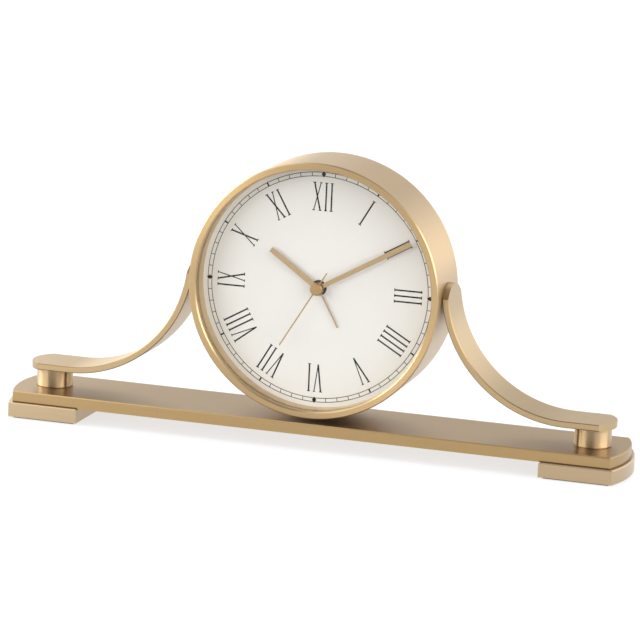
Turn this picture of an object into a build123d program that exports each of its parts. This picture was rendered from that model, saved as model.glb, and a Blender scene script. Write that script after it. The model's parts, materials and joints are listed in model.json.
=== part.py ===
# Tambour mantel clock: a metal drum with a quartz alarm movement, carried by two bowed arms
# on a long base. Millimetres. X to the right, Y to the back, Z up, and the dial faces -Y.
# The origin is on the floor under the middle of the base.
from build123d import *
from math import asin, atan2, cos, degrees, radians, sin, sqrt
import os

os.makedirs("parts", exist_ok=True)
SEAT = (Align.CENTER, Align.CENTER, Align.MIN)

# Stand: base plate, feet, pillars and arms
base_depth = 43.5
base_thickness = 5.4
base_end_bow = 4.4
base_end_margin = 17.3  # pillar axis to the tip of the bowed end
base_edge_bevel = 0.5
foot_height = 6.8
foot_length = 38.5  # tip of the bowed end to the inner face
foot_proud = 1.5  # foot outline outside the plate outline
foot_edge_bevel = 0.5
pad_thickness = 0.8
pad_inset = 2.0
pillar_diameter = 17.2
pillar_height = 9.2
pillar_edge_bevel = 0.4
arm_width = 24.0
arm_thickness = 3.0
arm_bend_radius = 58.0  # concave face of the bend
arm_end_bow = 5.8
arm_run_to_pillar = 10.8  # end of the bend to the pillar axis
arm_overhang = 10.7  # pillar axis to the tip of the arm
arm_tip_rise = 7.2  # upper tip of the arm above the case axis
arm_edge_bevel = 0.35
arm_seat_gap = 0.05  # arm to drum, where they touch

# Case: drum, glass, ring, dial and back cover
case_diameter = 120.0
case_depth = 36.0
case_lift = 1.4  # drum above the base plate
case_wall = 1.8
case_edge_bevel = 0.5
rim_width = 3.5
rim_depth = 3.2  # front lip that the glass sits against
rim_bevel = 0.6
bore_clearance = 0.2
stack_gap = 0.05  # between pieces that are clamped together
glass_thickness = 2.0
dial_depth = 11.6  # dial face behind the front of the rim
dial_thickness = 0.8
dial_hole_radius = 3.7
cover_thickness = 2.0
cover_skirt_wall = 1.6
cover_skirt_inset = 2.4  # skirt inside the disc, clear of the arm screws
cover_frame_wall = 1.6
cover_frame_depth = 4.0
cover_window_lap = 1.4  # cover over the edge of the movement
lug_count = 3
lug_width = 7.0
lug_height = 7.0
lug_depth = 5.0
lug_clearance = 1.0

# Fasteners
bolt_radius = 2.0
bolt_head_radius = 3.5
bolt_head_height = 3.0
bolt_recess_depth = 3.4
bolt_clearance = 0.2
bolt_thread_depth = 2.0  # into the underside of the arm
bolt_socket_width = 3.0
bolt_socket_depth = 1.8
thread_gap = 0.03
arm_screw_radius = 1.5
arm_screw_head_radius = 2.7
arm_screw_head_height = 1.6
arm_screw_spacing = 6.4
arm_screw_shift = 2.6  # middle of the pair behind the middle of the drum, clear of the dial
arm_screw_drop = 2.0  # degrees round the drum, from the line where the arm touches to the pair
arm_screw_thread_depth = 2.2
cover_screw_radius = 1.25
cover_screw_head_radius = 2.5
cover_screw_head_height = 1.7
cover_screw_length = 6.0

# Movement housing
shell_wall = 1.2
shell_corner_round = 2.0
bush_radius = 3.5
bush_bore_radius = 2.45
bush_proud = 0.2  # bush in front of the dial face
plate_thickness = 1.0
plate_post_radius = 1.8
plate_post_inset = 2.3
pivot_radius = 0.4
pivot_gap = 0.05
pivot_depth = 1.2
pivot_recess = 0.8  # for the setting arbors, in the front wall
post_wall = 0.9
end_gap = 0.35  # wheel to the wall or post beside it
layer_gap = 0.6  # between layers of wheels
pinion_room = 0.95  # where a pinion's end stands out
motor_room = 1.4  # stator to the fifth wheel
rear_room = 1.8  # fifth wheel to the rear wall

# Battery: one AA cell lying across the lower part of the movement
cell_diameter = 14.2
cell_length = 49.5
cell_nub_radius = 2.6
cell_nub_length = 1.0
cell_clearance = 0.2
bay_end_gap = 0.75
bay_end_wall = 1.1
bay_wall = 0.7
bay_room = 1.2  # wheels above the trough
contact_thickness = 0.4
contact_width = 8.0
contact_corner = 1.0

# Wheels: teeth and modules
tooth_addendum = 0.8  # in modules
tooth_dedendum = 1.05
tooth_tip_share = 0.22  # of half a tooth pitch
tooth_root_share = 0.58
front_wheel_thickness = 0.8
rear_wheel_thickness = 0.6
pinion_margin = 0.2  # pinion beyond each face of its wheel
rotor_teeth, fifth_teeth, rotor_module = 8, 48, 0.28
fifth_pinion_teeth, seconds_teeth, fifth_module = 8, 40, 0.34
seconds_pinion_teeth, third_teeth, third_module = 8, 60, 0.27
third_pinion_teeth, centre_teeth = 8, 64
cannon_teeth, minute_teeth, minute_module = 14, 42, 0.30
minute_pinion_teeth, hour_teeth = 10, 40
time_set_teeth = 14
alarm_set_teeth, alarm_teeth, alarm_module = 16, 40, 0.34
# Directions of the arbors round the case axis, in degrees from the right, counterclockwise from the front
third_direction = 120.0
fifth_direction = 50.0
rotor_direction = 20.0  # from the fifth wheel
minute_direction = 200.0
time_set_direction = 180.0  # from the minute wheel
alarm_set_direction = -15.0

# Tubes on the case axis, from the inside out
tube_gap = 0.1
tube_wall = 0.45
seconds_arbor_radius = 0.5
alarm_tube_wall = 0.6
hand_fit = 0.02

# Hands: height above the dial, length and widths at hub and tip
hand_thickness = 0.3
hub_radius = 2.9
alarm_hand_height, alarm_hand_length, alarm_hand_width = 0.5, 20.4, 0.7
hour_hand_height, hour_hand_length, hour_hub_width, hour_tip_width = 1.6, 28.5, 2.6, 2.4
minute_hand_height, minute_hand_margin, minute_hub_width, minute_tip_width = 2.75, 6.2, 2.1, 2.5
second_hand_height, second_hand_length, second_hand_tail = 4.4, 32.5, 9.4
second_hand_width, second_hand_thickness = 0.65, 0.25
hub_height = 0.8
cap_height = 1.3
cap_edge_bevel = 0.35
cap_proud = 0.55  # cap in front of the blade
cap_floor = 0.6  # cap in front of the arbor's end
# Angles at rest, clockwise from twelve: ten past ten, thirty-five seconds, alarm at five
alarm_hand_angle, hour_hand_angle, minute_hand_angle, second_hand_angle = 150.6, 305.0, 60.0, 210.8

# Controls on the back of the movement
control_arbor_radius = 1.0
time_knob_radius = 5.0
alarm_knob_radius = 4.5
knob_height = 4.4
knob_lift = 0.4
knob_cap = 1.0  # knob behind the arbor's end
knob_grips = 14
knob_grip_radius = 0.7
switch_z = 2.0
switch_travel = 4.0
switch_width, switch_length = 3.0, 3.6
switch_proud = 1.6
switch_flange = 1.2
switch_gap = 0.15

# Motor, circuit board and sounder
rotor_magnet_radius = 2.5
rotor_magnet_length = 2.2
rotor_air_gap = 0.4
stator_rim = 1.5
stator_peg_radius = 1.2
stator_thickness = 1.0
stator_leg = 3.5
coil_radius = 3.2
coil_flange = 0.8
coil_length = 25.0
coil_winding_inset = 0.5  # winding below the flanges
coil_headroom = 2.1  # coil to the top wall
coil_overhang = 0.7  # coil past the stator's yoke
core_thickness = 0.8
core_width = 2.2
core_lap = 0.4
board_thickness = 1.0
board_width, board_height = 10.0, 14.0
board_side_gap = 1.2
board_low_gap = 0.6
crystal_radius = 1.0
crystal_length = 6.0
buzzer_radius = 7.0
buzzer_depth = 2.6
buzzer_port_radius = 1.0
buzzer_side_gap = 0.8
buzzer_top_gap = 1.0
sound_slot_width = 1.2
sound_slots = 4

# Levels of the stand, from the floor up
foot_z = pad_thickness
base_z = foot_z + foot_height
base_top_z = base_z + base_thickness
arm_low_z = base_top_z + pillar_height
arm_face_z = arm_low_z + arm_thickness
case_radius = case_diameter / 2
case_z = base_top_z + case_lift + case_radius

# The bend's centre: the arm runs level over the pillar and touches the drum's side
bend_z = arm_face_z + arm_bend_radius
bend_outer_radius = arm_bend_radius + arm_thickness
bend_reach = case_radius + arm_seat_gap + bend_outer_radius
bend_x = sqrt(bend_reach**2 - (bend_z - case_z) ** 2)
arm_screw_angle = degrees(asin((bend_z - case_z) / bend_reach)) - arm_screw_drop
pillar_x = bend_x + arm_run_to_pillar
arm_end_x = pillar_x + arm_overhang
arm_tip_z = case_z + arm_tip_rise
base_tip_x = pillar_x + base_end_margin
foot_tip_x = base_tip_x + foot_proud

# Depths in the case, from the front of the rim back
rim_y = -case_depth / 2
glass_y = rim_y + rim_depth
ring_y = glass_y + glass_thickness
dial_y = rim_y + dial_depth
dial_back_y = dial_y + dial_thickness
movement_y = dial_back_y + stack_gap
rim_radius = case_radius - rim_width
bore_radius = case_radius - case_wall
loose_radius = bore_radius - bore_clearance
skirt_radius = loose_radius - cover_skirt_inset
lug_radius = bore_radius - lug_height / 2
arm_screw_front_y = arm_screw_shift - arm_screw_spacing / 2
arm_screw_back_y = arm_screw_shift + arm_screw_spacing / 2

# Front faces of the layers in the movement
inner_y = movement_y + shell_wall
alarm_y = inner_y + end_gap
hour_y = alarm_y + front_wheel_thickness + layer_gap
minute_y = hour_y + front_wheel_thickness + layer_gap
centre_y = minute_y + front_wheel_thickness + layer_gap
plate_y = centre_y + front_wheel_thickness + layer_gap
plate_back_y = plate_y + plate_thickness
split_y = plate_y + plate_thickness / 2
third_y = plate_back_y + pinion_room
seconds_y = third_y + rear_wheel_thickness + pinion_room
stator_y = seconds_y + rear_wheel_thickness + end_gap
fifth_y = stator_y + stator_thickness + motor_room
rear_wall_y = fifth_y + rear_wheel_thickness + rear_room
movement_back_y = rear_wall_y + shell_wall
cover_y = movement_back_y + stack_gap
cover_back_y = cover_y + cover_thickness

# Arbor distances, and modules that share a distance
third_distance = third_module * (seconds_pinion_teeth + third_teeth) / 2
centre_module = 2 * third_distance / (third_pinion_teeth + centre_teeth)
fifth_distance = fifth_module * (fifth_pinion_teeth + seconds_teeth) / 2
rotor_distance = rotor_module * (rotor_teeth + fifth_teeth) / 2
minute_distance = minute_module * (cannon_teeth + minute_teeth) / 2
hour_module = 2 * minute_distance / (minute_pinion_teeth + hour_teeth)
time_set_distance = minute_module * (time_set_teeth + minute_teeth) / 2
alarm_set_distance = alarm_module * (alarm_set_teeth + alarm_teeth) / 2

# Radii of the coaxial tubes
cannon_bore = seconds_arbor_radius + tube_gap
cannon_radius = cannon_bore + tube_wall
hour_bore = cannon_radius + tube_gap
hour_radius = hour_bore + tube_wall
alarm_bore = hour_radius + tube_gap
alarm_radius = alarm_bore + alarm_tube_wall


def facing(y, x=0.0, z=0.0):
    """A plane seen from the front at depth y, placed from the case axis; its normal points forward."""
    return Plane(origin=(x, y, case_z + z), x_dir=(1, 0, 0), z_dir=(0, -1, 0))


def away(distance, direction, start=(0.0, 0.0)):
    """The point at a distance and direction from a start point, seen from the front."""
    return (start[0] + distance * cos(radians(direction)), start[1] + distance * sin(radians(direction)))


def toothed_face(plane, teeth, module, phase):
    """A toothed outline with short flat-flanked teeth, one of them centred on the phase angle."""
    pitch_radius = teeth * module / 2
    tip = pitch_radius + tooth_addendum * module
    root = pitch_radius - tooth_dedendum * module
    half_pitch = 180 / teeth
    tip_half, root_half = tooth_tip_share * half_pitch, tooth_root_share * half_pitch
    corners = []
    for tooth in range(teeth):
        middle = phase + 2 * half_pitch * tooth
        corners += [away(root, middle - root_half), away(tip, middle - tip_half)]
        corners += [away(tip, middle + tip_half), away(root, middle + root_half)]
    with BuildSketch(plane) as face:
        with BuildLine():
            Polyline(*corners, close=True)
        make_face()
    return face.sketch


def meshing_phase(driver_teeth, driver_phase, direction, teeth):
    """The phase of a wheel in the given direction whose gap faces the driver's tooth."""
    share = (direction - driver_phase) * driver_teeth / 360
    return direction + 180 - (0.5 - share) * 360 / teeth


# Places of the arbors and the phases of their teeth
third_x, third_z = away(third_distance, third_direction)
fifth_x, fifth_z = away(fifth_distance, fifth_direction)
rotor_x, rotor_z = away(rotor_distance, rotor_direction, (fifth_x, fifth_z))
minute_x, minute_z = away(minute_distance, minute_direction)
time_set_x, time_set_z = away(time_set_distance, time_set_direction, (minute_x, minute_z))
alarm_set_x, alarm_set_z = away(alarm_set_distance, alarm_set_direction)
third_phase = meshing_phase(seconds_pinion_teeth, 0, third_direction, third_teeth)
centre_phase = meshing_phase(third_pinion_teeth, 0, third_direction + 180, centre_teeth)
seconds_phase = meshing_phase(fifth_pinion_teeth, 0, fifth_direction + 180, seconds_teeth)
fifth_phase = meshing_phase(rotor_teeth, 0, rotor_direction + 180, fifth_teeth)
minute_phase = meshing_phase(cannon_teeth, 0, minute_direction, minute_teeth)
hour_phase = meshing_phase(minute_pinion_teeth, 0, minute_direction + 180, hour_teeth)
time_set_phase = meshing_phase(minute_teeth, minute_phase, time_set_direction, time_set_teeth)
alarm_phase = meshing_phase(alarm_set_teeth, 0, alarm_set_direction + 180, alarm_teeth)

# Battery bay under the wheels, and the housing round both
cell_radius = cell_diameter / 2
bay_radius = cell_radius + cell_clearance
bay_half_length = cell_length / 2 + bay_end_gap
trough_half = bay_half_length + bay_end_wall
trough_height = 2 * (bay_radius + bay_wall)
minute_tip_radius = minute_module * (minute_teeth / 2 + tooth_addendum)
bay_top_z = minute_z - minute_tip_radius - bay_room
bay_z = bay_top_z - trough_height / 2
bay_front_y = inner_y + 2 * stack_gap
cell_y = bay_front_y + bay_wall + bay_radius
cavity_half_x = trough_half + bore_clearance
cavity_half_z = trough_height + bore_clearance - bay_top_z
movement_width = 2 * (cavity_half_x + shell_wall)
movement_height = 2 * (cavity_half_z + shell_wall)

# Outline of the step motor, placed round its rotor
stator_hole_radius = rotor_magnet_radius + rotor_air_gap
yoke_half = stator_hole_radius + stator_rim
coil_x = rotor_x + yoke_half + coil_overhang - coil_length / 2
coil_rise = cavity_half_z - coil_radius - coil_headroom
core_half = coil_length / 2 + stator_leg
core_top = coil_rise + core_width / 2 + core_lap
coil_low_z = coil_rise - coil_radius - bolt_clearance
left_pad_x, right_leg_x = coil_x - core_half, coil_x + core_half

# Places on the train plate and in the rear wall
plate_half = cavity_half_x - bore_clearance
plate_top_z = cavity_half_z - bore_clearance
plate_low_z = bay_top_z + bore_clearance
board_x = cavity_half_x - board_width / 2 - board_side_gap
board_z = plate_low_z + board_height / 2 + board_low_gap
buzzer_x = buzzer_radius + buzzer_side_gap - cavity_half_x
buzzer_z = cavity_half_z - buzzer_radius - buzzer_top_gap
switch_x = board_x

# Base plate: straight front and back, bowed ends
base_corner_x = base_tip_x - base_end_bow
with BuildPart() as base_plate:
    with BuildSketch(Plane.XY.offset(base_z)):
        with BuildLine():
            Line((-base_corner_x, -base_depth / 2), (base_corner_x, -base_depth / 2))
            ThreePointArc((base_corner_x, -base_depth / 2), (base_tip_x, 0), (base_corner_x, base_depth / 2))
            Line((base_corner_x, base_depth / 2), (-base_corner_x, base_depth / 2))
            ThreePointArc((-base_corner_x, base_depth / 2), (-base_tip_x, 0), (-base_corner_x, -base_depth / 2))
        make_face()
    extrude(amount=base_thickness)
    chamfer(base_plate.faces().sort_by(Axis.Z)[-1].edges(), base_edge_bevel)
    with Locations((-pillar_x, 0, base_top_z), (pillar_x, 0, base_top_z)):
        Hole(bolt_radius + bolt_clearance)
base_plate.part.label = "base_plate"
export_step(base_plate.part, "parts/base_plate.step")

# Feet, pillars and arms, one of each on either side
foot_half = base_depth / 2 + foot_proud
foot_corner_x = foot_tip_x - base_end_bow
foot_inner_x = foot_tip_x - foot_length
arm_half = arm_width / 2
for side, side_name in ((-1, "left"), (1, "right")):
    with BuildPart() as foot:
        with BuildSketch(Plane.XY.offset(foot_z)):
            with BuildLine():
                Line((side * foot_inner_x, -foot_half), (side * foot_corner_x, -foot_half))
                ThreePointArc(
                    (side * foot_corner_x, -foot_half), (side * foot_tip_x, 0), (side * foot_corner_x, foot_half)
                )
                Line((side * foot_corner_x, foot_half), (side * foot_inner_x, foot_half))
                Line((side * foot_inner_x, foot_half), (side * foot_inner_x, -foot_half))
            make_face()
        extrude(amount=foot_height)
        chamfer(foot.faces().sort_by(Axis.Z)[-1].edges(), foot_edge_bevel)
        with Locations((side * pillar_x, 0, base_z)):
            Hole(bolt_radius + bolt_clearance)
        with Locations((side * pillar_x, 0, foot_z)):
            Cylinder(bolt_head_radius + bolt_clearance, bolt_recess_depth, align=SEAT, mode=Mode.SUBTRACT)
    foot.part.label = f"{side_name}_foot"
    export_step(foot.part, f"parts/{side_name}_foot.step")

    with BuildPart() as pillar:
        with Locations((side * pillar_x, 0, base_top_z)):
            Cylinder(pillar_diameter / 2, pillar_height, align=SEAT)
        chamfer(pillar.edges().filter_by(GeomType.CIRCLE), pillar_edge_bevel)
        with Locations((side * pillar_x, 0, arm_low_z)):
            Hole(bolt_radius + bolt_clearance)
    pillar.part.label = f"{side_name}_pillar"
    export_step(pillar.part, f"parts/{side_name}_pillar.step")

    # A bevelled strip is swept down the bend and out over the pillar, then both ends are cut to a bow
    strip_top_z = max(bend_z, arm_tip_z) + arm_end_bow
    strip_end_x = arm_end_x + arm_end_bow
    strip_radius = arm_bend_radius + arm_thickness / 2
    strip_x, strip_z = bend_x - strip_radius, arm_low_z + arm_thickness / 2
    screw_rise = radians(arm_screw_angle)
    screw_plane = Plane(
        origin=(side * case_radius * cos(screw_rise), 0, case_z + case_radius * sin(screw_rise)),
        x_dir=(0, 1, 0),
        z_dir=(side * cos(screw_rise), 0, sin(screw_rise)),
    )
    with BuildPart() as arm:
        with BuildLine(Plane.XZ):
            Line((side * strip_x, strip_top_z), (side * strip_x, bend_z))
            RadiusArc((side * strip_x, bend_z), (side * bend_x, strip_z), side * -strip_radius)
            Line((side * bend_x, strip_z), (side * strip_end_x, strip_z))
        with BuildSketch(Plane(origin=(side * strip_x, 0, strip_top_z), x_dir=(1, 0, 0), z_dir=(0, 0, -1))) as strip:
            Rectangle(arm_thickness, arm_width)
            chamfer(strip.vertices(), arm_edge_bevel)
        sweep()
        with BuildSketch(Plane.XY):
            with BuildLine():
                corner_x = arm_end_x - arm_end_bow
                Line((0, -arm_half), (side * corner_x, -arm_half))
                ThreePointArc((side * corner_x, -arm_half), (side * arm_end_x, 0), (side * corner_x, arm_half))
                Line((side * corner_x, arm_half), (0, arm_half))
                Line((0, arm_half), (0, -arm_half))
            make_face()
        extrude(amount=strip_top_z, mode=Mode.INTERSECT)
        with BuildSketch(Plane.YZ):
            with BuildLine():
                corner_z = arm_tip_z - arm_end_bow
                Line((-arm_half, 0), (arm_half, 0))
                Line((arm_half, 0), (arm_half, corner_z))
                ThreePointArc((arm_half, corner_z), (0, arm_tip_z), (-arm_half, corner_z))
                Line((-arm_half, corner_z), (-arm_half, 0))
            make_face()
        extrude(amount=side * strip_end_x, mode=Mode.INTERSECT)
        with Locations((side * pillar_x, 0, arm_low_z)):
            Cylinder(bolt_radius + thread_gap, bolt_thread_depth, align=SEAT, mode=Mode.SUBTRACT)
        with Locations(screw_plane):
            with Locations((arm_screw_front_y, 0), (arm_screw_back_y, 0)):
                hole_depth = arm_seat_gap + arm_screw_thread_depth
                Cylinder(arm_screw_radius + thread_gap, hole_depth, align=SEAT, mode=Mode.SUBTRACT)
    arm.part.label = f"{side_name}_arm"
    export_step(arm.part, f"parts/{side_name}_arm.step")

# Thin pads glued under both feet
pad_half = foot_half - pad_inset
pad_tip_x = foot_tip_x - pad_inset
with BuildPart() as foot_pads:
    for side in (-1, 1):
        with BuildSketch(Plane.XY):
            with BuildLine():
                near_x = side * (foot_inner_x + pad_inset)
                corner_x = side * (pad_tip_x - base_end_bow)
                Line((near_x, -pad_half), (corner_x, -pad_half))
                ThreePointArc((corner_x, -pad_half), (side * pad_tip_x, 0), (corner_x, pad_half))
                Line((corner_x, pad_half), (near_x, pad_half))
                Line((near_x, pad_half), (near_x, -pad_half))
            make_face()
        extrude(amount=pad_thickness)
foot_pads.part.label = "foot_pads"
export_step(foot_pads.part, "parts/foot_pads.step")

# Bolts from below: through foot, plate and pillar into the arm
bolt_seat_z = foot_z + bolt_recess_depth
bolt_top_z = arm_low_z + bolt_thread_depth - bolt_clearance
with BuildPart() as pillar_bolts:
    with Locations((-pillar_x, 0, bolt_seat_z), (pillar_x, 0, bolt_seat_z)):
        Cylinder(bolt_radius, bolt_top_z - bolt_seat_z, align=SEAT)
    with Locations((-pillar_x, 0, bolt_seat_z - bolt_head_height), (pillar_x, 0, bolt_seat_z - bolt_head_height)):
        Cylinder(bolt_head_radius, bolt_head_height, align=SEAT)
    with BuildSketch(Plane.XY.offset(bolt_seat_z - bolt_head_height)):
        with Locations((-pillar_x, 0), (pillar_x, 0)):
            RegularPolygon(bolt_socket_width / 2, 6, major_radius=False)
    extrude(amount=bolt_socket_depth, mode=Mode.SUBTRACT)
pillar_bolts.part.label = "pillar_bolts"
export_step(pillar_bolts.part, "parts/pillar_bolts.step")

# Drum: turned from one profile of depth and radius, with lugs inside for the cover screws
case_axis = Axis((0, 0, case_z), (0, 1, 0))
turning_plane = Plane(origin=(0, 0, case_z), x_dir=(0, 1, 0), z_dir=(1, 0, 0))
lug_angles = [90 + 360 / lug_count * (lug + 0.5) for lug in range(lug_count)]
lug_places = [away(lug_radius, angle) for angle in lug_angles]
arm_screw_angles = (arm_screw_angle, 180 - arm_screw_angle)
with BuildPart() as drum_case:
    with BuildSketch(turning_plane):
        with BuildLine():
            Polyline(
                (rim_y, rim_radius),
                (rim_y, case_radius),
                (-rim_y, case_radius),
                (-rim_y, bore_radius),
                (glass_y, bore_radius),
                (glass_y, rim_radius),
                close=True,
            )
        make_face()
    revolve(axis=case_axis)
    turned_edges = drum_case.edges().filter_by(GeomType.CIRCLE)
    front_edges = turned_edges.group_by(Axis.Y)[0].sort_by(SortBy.RADIUS)
    back_edges = turned_edges.group_by(Axis.Y)[-1].sort_by(SortBy.RADIUS)
    chamfer([front_edges[-1], back_edges[-1]], case_edge_bevel)
    inner_edge = drum_case.edges().filter_by(GeomType.CIRCLE).group_by(Axis.Y)[0].sort_by(SortBy.RADIUS)[0]
    chamfer(inner_edge, rim_bevel)
    with BuildSketch(facing(cover_y)):
        with PolarLocations(lug_radius + case_wall / 2, lug_count, start_angle=lug_angles[0]):
            Rectangle(lug_height + case_wall, lug_width)
        Circle(bore_radius + case_wall / 2, mode=Mode.INTERSECT)
    extrude(amount=lug_depth)
    for lug_x, lug_z in lug_places:
        with Locations(facing(cover_y, lug_x, lug_z)):
            Cylinder(cover_screw_radius + thread_gap, lug_depth, align=SEAT, mode=Mode.SUBTRACT)
    for angle in arm_screw_angles:
        axis_x, axis_z = away(1, angle)
        with Locations(Plane(origin=(0, 0, case_z), x_dir=(0, 1, 0), z_dir=(axis_x, 0, axis_z))):
            with Locations((arm_screw_front_y, 0), (arm_screw_back_y, 0)):
                hole_radius = arm_screw_radius + bolt_clearance
                Cylinder(hole_radius, case_radius + case_wall, align=SEAT, mode=Mode.SUBTRACT)
drum_case.part.label = "drum_case"
export_step(drum_case.part, "parts/drum_case.step")

# Screws from inside the drum into the arms; each head rests on the curved wall
head_seat = sqrt(bore_radius**2 - arm_screw_head_radius**2)
screw_end = case_radius + arm_seat_gap + arm_screw_thread_depth - bolt_clearance
with BuildPart() as arm_screws:
    for angle in arm_screw_angles:
        axis_x, axis_z = away(1, angle)
        with Locations(Plane(origin=(0, 0, case_z), x_dir=(0, 1, 0), z_dir=(axis_x, 0, axis_z))):
            for along in (arm_screw_front_y, arm_screw_back_y):
                with Locations((along, 0, head_seat)):
                    Cylinder(arm_screw_radius, screw_end - head_seat, align=SEAT)
                with Locations((along, 0, head_seat - arm_screw_head_height)):
                    Cylinder(arm_screw_head_radius, arm_screw_head_height, align=SEAT)
arm_screws.part.label = "arm_screws"
export_step(arm_screws.part, "parts/arm_screws.step")

# Glass, the ring that keeps the dial behind it, and the dial
with BuildPart() as glass:
    with Locations(facing(ring_y)):
        Cylinder(loose_radius, glass_thickness - stack_gap, align=SEAT)
glass.part.label = "glass"
export_step(glass.part, "parts/glass.step")

with BuildPart() as dial_ring:
    with Locations(facing(dial_y - stack_gap)):
        Cylinder(loose_radius, dial_y - ring_y - 2 * stack_gap, align=SEAT)
        Cylinder(rim_radius, dial_y - ring_y, align=SEAT, mode=Mode.SUBTRACT)
dial_ring.part.label = "dial_ring"
export_step(dial_ring.part, "parts/dial_ring.step")

with BuildPart() as dial:
    with Locations(facing(dial_back_y)):
        Cylinder(loose_radius, dial_thickness, align=SEAT)
        Cylinder(dial_hole_radius, dial_thickness, align=SEAT, mode=Mode.SUBTRACT)
dial.part.label = "dial"
export_step(dial.part, "parts/dial.step")

# Back cover: disc in the drum, skirt that holds the dial, frame round the movement
frame_width, frame_height = movement_width + 2 * bore_clearance, movement_height + 2 * bore_clearance
window_width, window_height = movement_width - 2 * cover_window_lap, movement_height - 2 * cover_window_lap
with BuildPart() as back_cover:
    with Locations(facing(cover_back_y)):
        Cylinder(loose_radius, cover_thickness, align=SEAT)
    with BuildSketch(facing(cover_y)):
        Circle(skirt_radius)
        Circle(skirt_radius - cover_skirt_wall, mode=Mode.SUBTRACT)
    extrude(amount=cover_y - dial_back_y - stack_gap)
    with BuildSketch(facing(cover_y)):
        RectangleRounded(frame_width + 2 * cover_frame_wall, frame_height + 2 * cover_frame_wall, shell_corner_round)
        Rectangle(frame_width, frame_height, mode=Mode.SUBTRACT)
    extrude(amount=cover_frame_depth)
    with BuildSketch(facing(cover_back_y)):
        RectangleRounded(window_width, window_height, shell_corner_round)
    extrude(amount=cover_thickness, mode=Mode.SUBTRACT)
    for angle, (lug_x, lug_z) in zip(lug_angles, lug_places):
        with BuildSketch(facing(cover_y, lug_x, lug_z)):
            Rectangle(2 * lug_height, lug_width + 2 * lug_clearance, rotation=angle)
        extrude(amount=cover_y - dial_back_y, mode=Mode.SUBTRACT)
        with Locations(facing(cover_back_y, lug_x, lug_z)):
            Cylinder(cover_screw_radius + bolt_clearance, cover_thickness, align=SEAT, mode=Mode.SUBTRACT)
back_cover.part.label = "back_cover"
export_step(back_cover.part, "parts/back_cover.step")

with BuildPart() as cover_screws:
    for lug_x, lug_z in lug_places:
        with Locations(facing(cover_back_y + cover_screw_head_height, lug_x, lug_z)):
            Cylinder(cover_screw_head_radius, cover_screw_head_height, align=SEAT)
        with Locations(facing(cover_back_y, lug_x, lug_z)):
            Cylinder(cover_screw_radius, cover_screw_length, align=SEAT)
cover_screws.part.label = "cover_screws"
export_step(cover_screws.part, "parts/cover_screws.step")

# Front shell of the movement: tray, bush through the dial, posts for the plate and the wheels
post_x = cavity_half_x - plate_post_inset
post_top_z, post_low_z = cavity_half_z - plate_post_inset, bay_top_z + plate_post_inset
minute_post_radius = 2 * pivot_radius
third_post_radius = pivot_radius + pivot_gap + post_wall
third_post_back_y = centre_y - pinion_margin - layer_gap
third_pivot_y = third_post_back_y - pivot_depth
with BuildPart() as movement_front:
    with BuildSketch(facing(split_y)):
        RectangleRounded(movement_width, movement_height, shell_corner_round)
    extrude(amount=split_y - movement_y)
    with BuildSketch(facing(split_y)):
        RectangleRounded(2 * cavity_half_x, 2 * cavity_half_z, shell_corner_round - shell_wall)
    extrude(amount=split_y - inner_y, mode=Mode.SUBTRACT)
    with Locations(facing(inner_y)):
        Cylinder(bush_radius, inner_y - dial_y + bush_proud, align=SEAT)
        Cylinder(bush_bore_radius, inner_y - dial_y + bush_proud, align=SEAT, mode=Mode.SUBTRACT)
    for x, z in ((-post_x, post_top_z), (post_x, post_top_z), (-post_x, post_low_z), (post_x, post_low_z)):
        with Locations(facing(plate_y, x, z)):
            Cylinder(plate_post_radius, plate_y - inner_y, align=SEAT)
    with Locations(facing(minute_y + front_wheel_thickness + pinion_margin, minute_x, minute_z)):
        Cylinder(minute_post_radius, minute_y + front_wheel_thickness + pinion_margin - inner_y, align=SEAT)
    with Locations(facing(third_post_back_y, third_x, third_z)):
        Cylinder(third_post_radius, third_post_back_y - inner_y, align=SEAT)
        Cylinder(pivot_radius + pivot_gap, pivot_depth, align=SEAT, mode=Mode.SUBTRACT)
    for x, z in ((alarm_set_x, alarm_set_z), (time_set_x, time_set_z)):
        with Locations(facing(inner_y, x, z)):
            Cylinder(pivot_radius + pivot_gap, pivot_recess, align=SEAT, mode=Mode.SUBTRACT)
movement_front.part.label = "movement_front"
export_step(movement_front.part, "parts/movement_front.step")

# Plate between the motion work and the going train
rotor_post_radius = pivot_radius + pivot_gap + post_wall
rotor_post_back_y = stator_y - (rotor_magnet_length - stator_thickness) / 2 - layer_gap
third_hole_radius = third_pinion_teeth * centre_module / 2 + centre_module * tooth_addendum + bolt_clearance
with BuildPart() as train_plate:
    with BuildSketch(facing(plate_back_y, 0, (plate_top_z + plate_low_z) / 2)):
        Rectangle(2 * plate_half, plate_top_z - plate_low_z)
    extrude(amount=plate_thickness)
    with Locations(facing(rotor_post_back_y, rotor_x, rotor_z)):
        Cylinder(rotor_post_radius, rotor_post_back_y - plate_back_y, align=SEAT)
    for peg_x in (left_pad_x + stator_leg / 2, right_leg_x - stator_leg / 2):
        with Locations(facing(stator_y - stack_gap, peg_x, coil_low_z)):
            Cylinder(stator_peg_radius, stator_y - stack_gap - plate_back_y, align=SEAT)
    for x, z, radius in (
        (0, 0, cannon_radius + pivot_gap),
        (third_x, third_z, third_hole_radius),
        (fifth_x, fifth_z, pivot_radius + pivot_gap),
        (time_set_x, time_set_z, control_arbor_radius + pivot_gap),
        (alarm_set_x, alarm_set_z, control_arbor_radius + pivot_gap),
    ):
        with Locations(facing(plate_back_y, x, z)):
            Cylinder(radius, plate_thickness, align=SEAT, mode=Mode.SUBTRACT)
    with Locations(facing(rotor_post_back_y, rotor_x, rotor_z)):
        Cylinder(pivot_radius + pivot_gap, rotor_post_back_y - plate_back_y, align=SEAT, mode=Mode.SUBTRACT)
train_plate.part.label = "train_plate"
export_step(train_plate.part, "parts/train_plate.step")

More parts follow.
